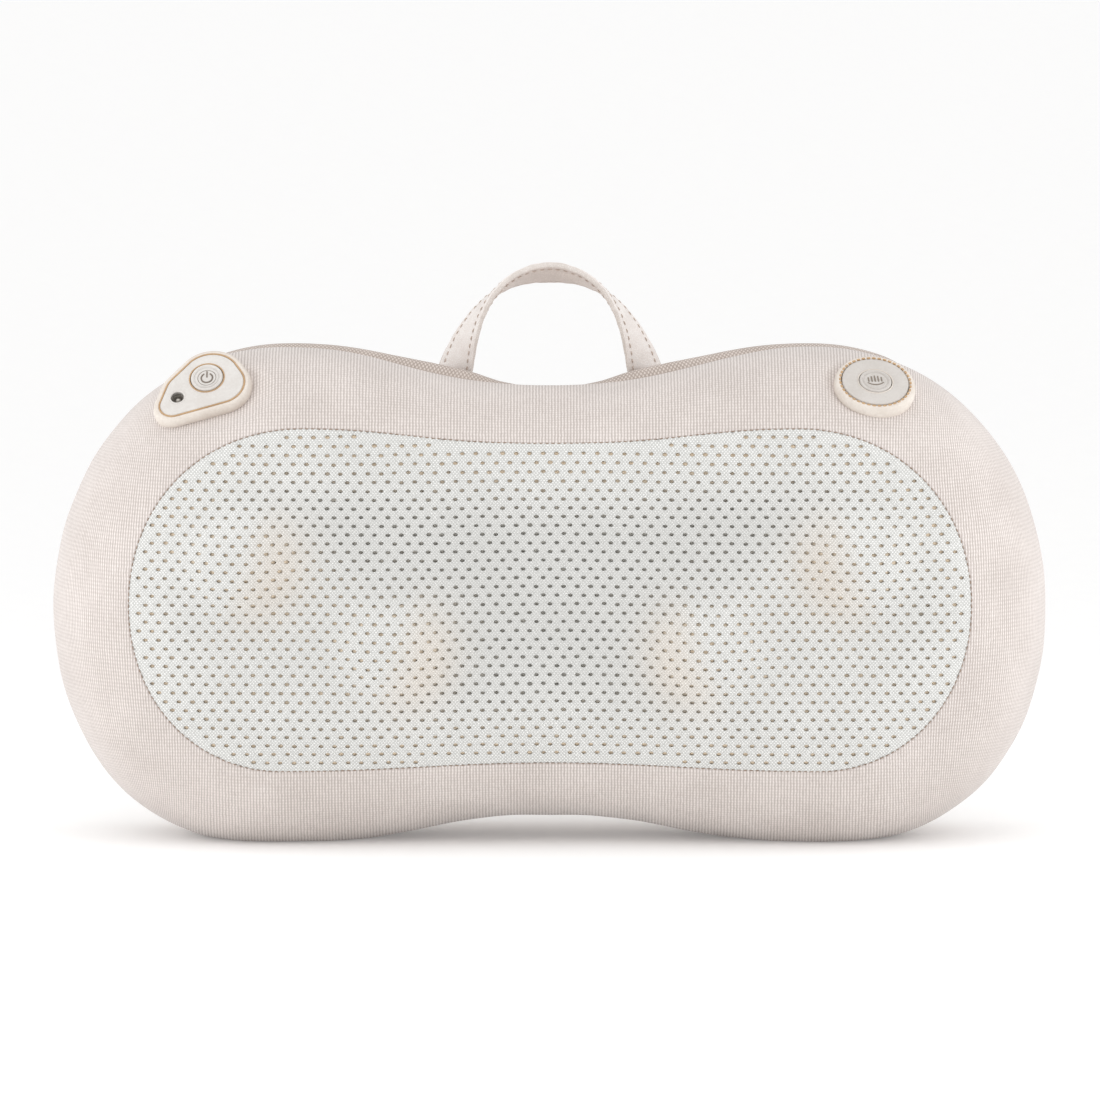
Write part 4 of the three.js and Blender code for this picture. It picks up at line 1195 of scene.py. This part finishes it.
def fine_point(i, station, inset):
    """One point of the fine surface, an inset of less than nothing standing proud."""
    pick = [(i - 1) % fine.count, i, (i + 1) % fine.count]
    body, back = (outline[i] + inward_of(outline[pick])[1] * inset
                  for outline in (fine.body, fine.back))
    fold = max(-station, 0) * math.pi / 2
    flat = body + (back - body) * (1 - math.cos(fold))
    y = WIDEST_Y + (BACK_DEPTH - inset) * math.sin(fold)
    return np.array([flat[0], y, max(flat[1], 0.0)])


def rear_welt():
    """Corded welt in the seam between the covers, round the sides and the bottom."""
    front, share = fine.band_edge(BAND_FRONT)
    rear, _ = fine.band_edge(BAND_REAR)
    use = np.flatnonzero(share < 0.3)
    line = np.array([fine_point(i, (front[i] + rear[i]) / 2, 0.75) for i in use])
    line[:, 2] = np.maximum(line[:, 2], 1.5)
    return tube("rear_welt", line, 1.25, 10, KNIT)


def tube(name, line, radius, sides, material):
    """A round cord along a line."""
    along = unit(np.gradient(line, axis=0))
    side = unit(np.cross(along, np.broadcast_to([0.02, 1, 0.01], along.shape)))
    other = np.cross(along, side)
    run = run_along(line)
    rings, uv = [], []
    for k in range(sides):
        angle = TAU * k / sides
        rings.append(line + (side * math.cos(angle) + other * math.sin(angle)) * radius)
        uv.append(np.stack([run, np.full(len(run), k * TAU * radius / sides)], axis=1))
    rows = np.array(rings).transpose(1, 0, 2)
    return loft(name, list(rows), material, uv=np.array(uv).transpose(1, 0, 2).reshape(-1, 2))


# ------------------------------------------------------------------ seam stitching


def window_stitches(line, normal):
    """Brown thread along the seam of the window."""
    path = line + np.array([0, 0.1, 0])
    i, share, spots, along = place_along(path, 2.3, closed=True)
    n = unit(sample(normal, i, share, closed=True) * 0.4 + [0, -1, 0])
    spots = spots + [0, -0.1, 0] + n * 0.12
    return stitches("window_stitching", spots, along, n, 1.55, 0.31, SEAM_THREAD)


# ------------------------------------------------------------------ carry strap


def handle_line(t):
    """The strap's middle line, from -1 at its left foot to 1 at its right."""
    t = np.atleast_1d(np.asarray(t, float))
    u = 1 - np.abs(t)[:, None]
    points = [(HANDLE_HALF_SPAN, HANDLE_BASE_Z), *STRAP_SHOULDER, (0, HANDLE_TOP_Z)]
    a, b, c, d = (np.array(p, float) for p in points)
    flat = (1 - u) ** 3 * a + 3 * (1 - u) ** 2 * u * b + 3 * (1 - u) * u * u * c + u ** 3 * d
    return np.stack([np.sign(t) * flat[:, 0], np.full(len(t), float(HANDLE_Y)), flat[:, 1]],
                    axis=1)


def strap_frames():
    """Centres, width and face directions along the strap, with its ends run into the seam."""
    t = np.linspace(-0.985, 0.985, 151)
    centre = handle_line(t)
    along = unit(handle_line(t + 0.01) - handle_line(t - 0.01))
    outside = unit(np.cross(along, [0, 1, 0]))
    risen = np.maximum(0, 1 - np.hypot(t, TWIST_ROUND))
    turn = STRAP_TWIST * risen ** TWIST_POWER
    face = np.array([0, -1, 0]) * np.cos(turn)[:, None] + outside * np.sin(turn)[:, None]
    tail = np.array([7.5, 6.0, 4.5, 3.0, 1.5])[:, None]
    centre = np.concatenate([centre[0] - along[0] * tail, centre,
                             (centre[-1] + along[-1] * tail)[::-1]])
    along, face = (np.concatenate([[v[0]] * len(tail), v, [v[-1]] * len(tail)])
                   for v in (along, face))
    face = unit(face)
    return centre, face, unit(np.cross(along, face))


FRONT_EDGE = 1
STITCH_INSET = 2.1


def carry_strap():
    """The strap, with light edges, its inner face painted darker as shade, and the thread along
    it.
    """
    centre, face, width = strap_frames()
    half, thick = STRAP_WIDTH / 2, STRAP_THICK / 2
    stitch_line = half - STITCH_INSET
    profile = []
    for share in np.linspace(-1, 1, 13):
        across = share * (half - 0.9)
        profile.append((across, thick * (0.9 + 0.105 * (1 - share ** 2))))
    corner = [(half - 0.45, thick * 0.78), (half - 0.1, thick * 0.45), (half, 0)]
    top = [(-a, b) for a, b in reversed(corner)] + profile + corner
    bottom = [(a, -b) for a, b in reversed(top[1:-1])]
    outline = top + bottom
    rings, uv = [], []
    run = run_along(centre)
    for k in range(len(centre)):
        crease = 0.12 * math.sin(run[k] * 0.9) * math.sin(run[k] * 0.23 + 1)
        groove = [(a, b - np.sign(b) * 0.28 * math.exp(-((abs(a) - stitch_line) / 0.45) ** 2))
                  for a, b in outline]
        rings.append([centre[k] + width[k] * a + face[k] * (b + crease * (abs(a) / half))
                      for a, b in groove])
        uv.append([(run[k], a) for a, _ in outline])
    strap = loft("carry_strap", rings, LEATHER, uv=np.concatenate(uv))
    rows, sides = len(rings), len(outline)
    # Edges take the edge paint, and the inner face the darker leather of painted shade.
    for look in (EDGE_PAINT, STRAP_UNDERSIDE_SHADE):
        strap.data.materials.append(look)
    edge_columns = {0, 1, len(top) - 2, len(top) - 1, sides - 1, len(top)}
    for polygon in strap.data.polygons:
        if polygon.index < (rows - 1) * sides:
            column = polygon.index % sides
            polygon.material_index = 1 if column in edge_columns else int(column >= len(top)) * 2
    threads = []
    for side in (-1, 1):
        for front in (1, -1) if side == FRONT_EDGE else (1,):
            path = centre + width * side * stitch_line + face * front * (thick * 0.93)
            i, share, spots, direction = place_along(path, 3.0, start=8.0)
            threads.append((spots, direction, sample(face, i, share) * front))
    spots, direction, up = (np.concatenate(group) for group in zip(*threads))
    thread = stitches("strap_stitching", spots, direction, up, 2.1, 0.5, STRAP_THREAD, 0.35)
    return strap, thread


TAB_TILT = -math.pi * 0.27
LOOK_HEIGHT = 9
LOOK_DEPTH = 18


def strap_tab(name, side, cloth):
    """The sewn end of the strap, laid on the cloth behind the seam, with its stitches."""
    middle = side * HANDLE_HALF_SPAN
    half, drop, thick = STRAP_WIDTH / 2, 11.0, 1.9
    corners = [(side_x * (half - 1.6), y, 1.6) for y in (1.6, drop - 1.6) for side_x in (-1, 1)]
    rings = [raised(hull_ring(corners, -inset, 40), height) for inset, height in
             ((0, 0), (0, thick * 0.55), (0.25, thick * 0.85), (0.8, thick))]
    c, s = math.cos(TAB_TILT), math.sin(TAB_TILT)
    outside = np.array([0, -s, c])

    def placed(points):
        p = np.asarray(points, float)
        base = np.stack([p[:, 0] + middle, p[:, 1] * c + HANDLE_Y + 4.2,
                         p[:, 1] * s + HANDLE_BASE_Z - 1.6], axis=1)
        rise = []
        for spot in base:
            above = Vector((spot + outside * LOOK_HEIGHT) * MM)
            hit = cloth.ray_cast(above, Vector(-outside), LOOK_DEPTH * MM)[3]
            rise.append(LOOK_HEIGHT - hit / MM - 0.25 if hit is not None else 0.0)
        return base + outside * (np.array(rise) + p[:, 2])[:, None]

    patch = loft(f"{name}_strap_tab", [placed(r) for r in rings], LEATHER,
                 uv=np.concatenate([r[:, :2] for r in rings]))
    path = np.array([(-half + 2, 2), (half - 2, 2), (half - 2, drop - 2), (-half + 2, drop - 2)])
    _, _, spots, direction = place_along(path, 2.6, closed=True)
    flat, ahead = raised(spots, thick), raised(spots + direction, thick)
    normal = placed(flat + [0, 0, 1]) - placed(flat)
    thread = stitches(f"{name}_tab_stitching", placed(flat), placed(ahead) - placed(flat),
                      normal, 1.8, 0.45, STRAP_THREAD, 0.3)
    return patch, thread


# ------------------------------------------------------------------ control pods


def swept(name, pod, circles, profile, material):
    """A ring of section profile [(margin, height)] round the hull of circles."""
    rings = [pod.world(raised(hull_ring(circles, m), h)) for m, h in profile]
    return loft(name, rings, material, closed_end=True)


def holed_solid(name, walls, material):
    """A solid between walls of rings: the first wall is its edge, and the others are holes."""
    data = bpy.data.meshes.new(name)
    ends = []
    with edited(data) as work:
        for rings in walls:
            rows = [[work.verts.new(p * MM) for p in ring] for ring in rings]
            following = [row[1:] + row[:1] for row in rows]
            for a, b, a_next, b_next in zip(rows, rows[1:], following, following[1:]):
                for quad in zip(a, a_next, b_next, b):
                    work.faces.new(quad)
            ends.append([[work.edges.get(pair) for pair in zip(rows[k], following[k])]
                         for k in (0, -1)])
        for level in (0, 1):
            chosen = [edge for end in ends for edge in end[level]]
            bmesh.ops.triangle_fill(work, edges=chosen, use_beauty=True)
        bmesh.ops.recalc_face_normals(work, faces=work.faces)
    data.materials.append(material)
    return sharp_flat(shown(data))


def plate(name, pod, circles, holes, top, low, material):
    """A flat plate with a rounded edge and rounded holes."""
    rounds = [(0.0, low), (0.0, top - 0.45), (0.12, top - 0.2), (0.32, top - 0.06), (0.6, top)]
    walls = [[pod.world(raised(hull_ring(circles, -inset), h)) for inset, h in rounds]]
    for hole in holes:
        walls.append([pod.world(raised(hull_ring([hole], inset * 0.7, 48), h))
                      for inset, h in rounds])
    return holed_solid(name, walls, material)


SHARP_EDGE = math.radians(38)


def sharp_flat(obj):
    """Sharp edges kept crisp under smooth shading."""
    with edited(obj.data) as work:
        for edge in work.edges:
            if len(edge.link_faces) == 2:
                edge.smooth = edge.calc_face_angle(0) < SHARP_EDGE
    return obj


def domed_button(name, pod, at, material):
    """A button with two raised rings round a shallow dish."""
    profile = [(0.6, -0.4), (0.6, 0.8), (0.0, 0.85), (0.0, 3.4), (-0.1, 4.0), (-0.4, 4.28),
               (-0.85, 4.26), (-1.15, 3.9), (-1.3, 3.6), (-1.6, 3.58), (-1.75, 3.8),
               (-1.95, 3.95), (-2.3, 3.9), (-2.5, 3.7), (-3.3, 3.62), (-4.2, 3.58),
               (-5.2, 3.56), (-5.9, 3.55)]
    rings = [pod.world(raised(hull_ring([(*at, BUTTON_RADIUS)], m, 64), h))
             for m, h in profile]
    return loft(name, rings, material)


ICON_LOW, ICON_HIGH = 3.4, 3.86


def bar(pod, a, b, width, high=ICON_HIGH, low=ICON_LOW):
    """Corners of a rounded bar between two points of a pod's face."""
    circles = [(*a, width / 2), (*b, width / 2)]
    return [pod.world(raised(hull_ring(circles, margin, 16), height))
            for margin, height in ((0, low), (0, high - 0.08), (-0.12, high))]


def joined(name, parts, material):
    """Several capped lofts as one piece."""
    points, faces = [], []
    for rings in parts:
        start, columns = sum(len(p) for p in points), len(rings[0])
        points += list(rings)
        faces += [tuple(start + v for v in f) for f in strip_faces(len(rings), columns)]
        last = start + (len(rings) - 1) * columns
        faces += [tuple(start + v for v in reversed(range(columns))),
                  tuple(last + v for v in range(columns))]
    return outward(build(name, np.concatenate(points), faces, material))


def arc_bars(pod, centre, radius, start, end, count, width, high=ICON_HIGH):
    """Short bars end to end along an arc, from one angle to another in degrees."""
    angles = np.radians(np.linspace(start, end, count + 1))
    spots = [(centre[0] + radius * math.cos(a), centre[1] + radius * math.sin(a)) for a in angles]
    return [bar(pod, p, q, width, high) for p, q in zip(spots, spots[1:])]


def power_icon(pod, at):
    """A broken ring with an upright bar, in a thin whole ring."""
    parts = arc_bars(pod, at, 2.2, 125, 415, 16, 0.55)
    parts.append(bar(pod, (at[0], at[1] + 0.5), (at[0], at[1] + 2.9), 0.55))
    parts += arc_bars(pod, at, 3.5, 0, 360, 36, 0.3, ICON_HIGH - 0.12)
    return joined("power_icon", parts, PRINT)


def hand_icon(pod, at):
    """Five fingers over a curved palm."""
    parts = []
    for k, tall in zip(range(-2, 3), (1.9, 2.5, 2.8, 2.5, 1.9)):
        x = at[0] + k * 1.25
        parts.append(bar(pod, (x, at[1] + 0.1), (x, at[1] + 0.1 + tall), 0.55))
    parts += arc_bars(pod, (at[0], at[1] + 2.6), 4.5, 228, 312, 10, 0.42)
    return joined("mode_icon", parts, PRINT)


def dashes(name, pod, circles, margin, spacing, length, width, height, material):
    """Raised stitches of colour along a pod's outline."""
    ring = hull_ring(circles, margin, 360)
    i, _, spots, _ = place_along(ring, spacing, closed=True)
    shut = np.concatenate([ring, ring[:1]])
    wide = (i + 2) % 360
    direction = unit(shut[wide] - shut[i - 1])
    parts = [bar(pod, p - d * length / 2, p + d * length / 2, width, height, height - 0.4)
             for p, d in zip(spots, direction)]
    return joined(name, parts, material)


def control_pod(name, pod, circles, at, holes, plate_look, icon, dashed):
    """A pod's rim, face, button, icon and trim. The trim is dashed or a whole line."""
    face_slot = "disc_plastic" if dashed else "pod_plastic"
    rim_profile = [(0.3, 1.0), (0.3, 2.7), (0.45, 3.1), (0.8, 3.3), (1.5, 3.25), (2.1, 2.9),
                   (2.55, 2.2), (2.85, 1.2), (2.95, 0.2), (2.75, -1.2), (2.4, -2.5), (2.4, -16.4),
                   (-1.1, -16.4), (-1.1, 1.0)]
    rim = swept(f"{name}_pod_rim", pod, circles, rim_profile, RIM)
    ride(rim, "pillow", f"{name}_pod_housing", slot="pod_plastic")
    face = plate(f"{name}_pod_plate", pod, circles, [(*at, BUTTON_RADIUS + 0.3), *holes],
                 POD_TOP + 0.4, 1.3, plate_look)
    ride(face, "pillow", f"{name}_pod_faceplate", slot=face_slot)
    button = domed_button(f"{name}_button_cap", pod, at, plate_look)
    ride(button, f"{name}_button", f"{name}_button", slot=face_slot)
    mark = icon(pod, at)
    ride(mark, f"{name}_button", slot=face_slot)
    if dashed:
        trim = dashes(f"{name}_pod_trim", pod, circles, 0.75, 2.1, 0.65, 0.8, 3.5, TRIM)
    else:
        trim = swept(f"{name}_pod_trim", pod, circles,
                     [(0.02, 3.0), (0.02, 3.44), (0.26, 3.56), (0.56, 3.46), (0.56, 3.0)], TRIM)
    ride(trim, "pillow", slot="pod_plastic")
    collar = swept(f"{name}_button_collar", pod, [(*at, BUTTON_RADIUS + 0.3)],
                   [(-0.05, 3.2), (-0.05, 3.7), (0.15, 3.85), (0.42, 3.74), (0.42, 3.3)],
                   RIM if dashed else TRIM)
    ride(collar, "pillow", slot="pod_plastic")


def socket_lip():
    """Moulded ring round the charging hole."""
    profile = [(0.0, 3.5), (-0.05, 3.64), (-0.3, 3.7), (-0.7, 3.64), (-0.85, 3.4),
               (-0.9, 3.0), (0.0, 3.0)]
    lip = swept("socket_lip", power_pod, [(*SOCKET_AT, SOCKET_RADIUS + 0.6)], profile, POD)
    ride(lip, "pillow", slot="pod_plastic")


# ------------------------------------------------------------------ zip

TOOTH_PITCH = 1.7


def slab_rings(circles, insets, heights, count=48):
    """Rings in world x and z at given depths, for pieces lying on the flat back."""
    return [raised(hull_ring(circles, -inset, count), y)[:, [0, 2, 1]]
            for inset, y in zip(insets, heights)]


def zip_parts():
    """Both halves of the zip's tape, their stitching, and the teeth."""
    for half, sign in (("upper", 1), ("lower", -1)):
        columns = 220
        x = np.linspace(-ZIP_HALF, ZIP_HALF, columns)
        across = [0.35, 0.7, 2.2, 4.0, 6.0, 8.0, 9.6, 10.6, 11.0]
        heights = [0.9, 1.15, 1.0, 0.75, 0.6, 0.5, 0.6, 0.45, 0.15]
        top = []
        for d, h in zip(across, heights):
            pull = 1 - smoothstep(np.abs(x), ZIP_HALF - 6, ZIP_HALF + 0.5) * 0.28
            ripple = 0.12 * np.sin(x * 0.35 + sign) * (d / 11)
            top.append(np.stack([x, BACK_Y + 0.2 + h + ripple, ZIP_Z + sign * d * pull], axis=1))
        bottom = [row - [0, 0.75, 0] for row in reversed(top)]
        bottom[0][:, 1] = np.maximum(bottom[0][:, 1], BACK_Y - 0.9)
        rows = np.array(top + bottom).transpose(1, 0, 2)
        uv = np.stack([rows[..., 0], rows[..., 2]], axis=-1).reshape(-1, 2)
        piece = loft(f"zip_tape_{half}", list(rows), ZIP_TAPE, uv=uv)
        ride(piece, "pillow", "zip_tape", slot="tape")
        path = np.stack([x[4:-4], np.full(columns - 8, BACK_Y + 0.72),
                         np.full(columns - 8, ZIP_Z + sign * 8.4)], axis=1)
        spots = place_along(path, 3.0)[2]
        thread = stitches(f"zip_stitching_{half}", spots,
                          np.broadcast_to([1.0, 0, 0], spots.shape),
                          np.broadcast_to([0, 1.0, 0], spots.shape), 2.0, 0.5, STRAP_THREAD)
        ride(thread, "pillow", slot="tape")
    teeth = []
    count = int(2 * (ZIP_HALF - 5) / TOOTH_PITCH)
    for k in range(count):
        x = -(ZIP_HALF - 5) + k * TOOTH_PITCH
        for sign in (-1, 1):
            shift = x + (TOOTH_PITCH / 2 if sign > 0 else 0)
            circles = [(shift, ZIP_Z + sign * 1.7, 0.42), (shift, ZIP_Z - sign * 0.4, 0.36)]
            teeth.append(slab_rings(circles, (0, 0, 0.18), (BACK_Y + 0.7, BACK_Y + 1.5,
                                                           BACK_Y + 1.72), 10))
    chain = joined("zip_teeth", teeth, BRASS)
    ride(chain, "pillow", slot="tape")


def zip_slider():
    """The slider, its bridge and its pull tab."""
    x = -ZIP_HALF + 8
    y = BACK_Y + 1.85
    base = slab_rings([(x - 3.4, ZIP_Z, 2.6), (x + 3.4, ZIP_Z, 1.6)],
                      (0.5, 0.12, 0, 0.1, 0.5), (y, y + 0.15, y + 0.5, y + 0.85, y + 1.1))
    slider = joined("zip_slider_body", [base], STEEL)
    ride(slider, "zip_slider", "zip_slider", slot="steel")
    spots = [(x + 2.2, y + 0.9), (x + 1.2, y + 1.9), (x - 1.2, y + 1.9), (x - 2.2, y + 0.9)]
    rings = []
    for px, py in spots:
        rings.append(np.array([(px + a, py + b, ZIP_Z + c) for a, b, c in
                               ((0.3, 0.25, 0.7), (0.3, 0.25, -0.7), (-0.3, -0.25, -0.7),
                                (-0.3, -0.25, 0.7))]))
    bridge = bevel(joined("zip_bridge", [rings], STEEL), 0.15)
    ride(bridge, "zip_slider", slot="steel")
    levels = [y + up for up in (1.2, 1.35, 1.85, 2.0)]
    outer = slab_rings([(x - 3, ZIP_Z, 1.8), (x - 15, ZIP_Z, 2.6)], (0.25, 0, 0, 0.25), levels)
    hole = slab_rings([(x - 14.6, ZIP_Z, 1.3)], (-0.2, 0, 0, -0.2), levels)
    tab = holed_solid("zip_pull_tab", [outer, hole], STEEL)
    ride(tab, "zip_slider", "zip_pull", slot="steel")


# ------------------------------------------------------------------ the object put together

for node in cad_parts.values():
    for material_slot in node.material_slots:
        source = material_slot.material.name if material_slot.material else ""
        found = [look for key, look in SLOT_LOOKS.items() if key in source]
        material_slot.material = found[-1] if found else CASE

for name in ("charging_socket", "charging_pin"):
    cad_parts[name].material_slots[0].material = SOCKET

cover, seam_line, seam_normal = front_cover()
ride(cover, "pillow", "front_cover", slot="knit")

window, window_area = mesh_window()
ride(window, "pillow", "mesh_panel", slot="mesh")

backing, backing_area = mesh_backing()
ride(backing, "pillow", "inner_lining", slot="lining")

back = back_cover()
ride(back, "pillow", "back_cover", slot="knit")

ride(top_tape(), "pillow", "top_band", slot="tape")
ride(rear_welt(), "pillow", slot="knit")
ride(window_stitches(seam_line, seam_normal), "pillow", slot="tape")

strap, strap_thread = carry_strap()
for piece in (strap, strap_thread):
    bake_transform(piece)
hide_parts("carry_handle")
back_cloth = BVHTree.FromPolygons([v.co for v in back.data.vertices],
                                  [tuple(f.vertices) for f in back.data.polygons])
for tab_name, tab_side in (("left", -1), ("right", 1)):
    tab, tab_thread = strap_tab(tab_name, tab_side, back_cloth)
    ride(tab, "pillow", f"{tab_name}_handle_anchor", slot="leather")
    ride(tab_thread, "pillow", slot="leather")

control_pod("power", power_pod, POWER_FACE, POWER_BUTTON_AT,
            [(*SOCKET_AT, SOCKET_RADIUS + 0.3)], POD, power_icon, False)
control_pod("mode", mode_pod, MODE_FACE, (0, 0), [], DISC, hand_icon, True)
socket_lip()
zip_parts()
zip_slider()

# ------------------------------------------------------------------ floor, light and camera

FLOOR_LOOK = moulded_material("floor_paper", (250, 250, 250), (248, 248, 248), (0.9, 0.95))
floor_shader = FLOOR_LOOK.node_tree.nodes["Principled BSDF"]
floor_shader.inputs["Emission Color"].default_value = (1, 1, 1, 1)
floor_shader.inputs["Emission Strength"].default_value = 0.1
floor = build("floor", [(x, y, -0.3) for x, y in ((-9000, -9000), (9000, -9000), (9000, 14000),
                                                  (-9000, 14000))], [(0, 1, 2, 3)], FLOOR_LOOK)

world = bpy.data.worlds.new("studio")
bpy.context.scene.world = world
world.use_nodes = True
sky = world.node_tree.nodes["Background"]
sky.inputs["Color"].default_value = (1.0, 0.995, 0.99, 1)
sky.inputs["Strength"].default_value = 0.56


def light(name, kind, spot, aim, energy, **settings):
    """A light at a spot, turned to a point."""
    data = bpy.data.lights.new(name, kind)
    data.energy = energy
    for key, value in settings.items():
        setattr(data, key, value)
    made = bpy.data.objects.new(name, data)
    made.location = spot
    made.rotation_mode = "QUATERNION"
    made.rotation_quaternion = (Vector(aim) - Vector(spot)).to_track_quat("-Z", "Y")
    link_object(made)


for side_name, side in (("left", -1), ("right", 1)):
    light(f"{side_name}_rim", "AREA", (side * 0.5, 0.12, 0.16), (side * 0.18, 0.0, 0.09), 0.22,
          size=0.3)
light("top_light", "SUN", (0.0, -0.2, 1.0), (0.0, 0.0, 0.0), 1.2, angle=math.radians(80))
for side_name, side in (("left", -1), ("right", 1)):
    light(f"{side_name}_box", "AREA", (side * 0.6, -0.36, 0.28), (side * 0.1, 0.0, 0.1), 1.0,
          size=0.4)

CAMERA_DISTANCE = 6.0
CAMERA_ELEVATION = math.radians(7)
AIM_Z = 0.1108
FRAME_WIDTH = 0.4222
camera_data = bpy.data.cameras.new("camera")
camera_data.sensor_width = 36
camera_data.lens = camera_data.sensor_width * CAMERA_DISTANCE / FRAME_WIDTH
camera_data.clip_end = 100
camera = bpy.data.objects.new("camera", camera_data)
link_object(camera)
camera.location = (0, -CAMERA_DISTANCE * math.cos(CAMERA_ELEVATION),
                   AIM_Z + CAMERA_DISTANCE * math.sin(CAMERA_ELEVATION))
camera.rotation_euler = (math.pi / 2 - CAMERA_ELEVATION, 0, 0)
bpy.context.scene.camera = camera
bpy.context.scene.view_settings.view_transform = "Standard"
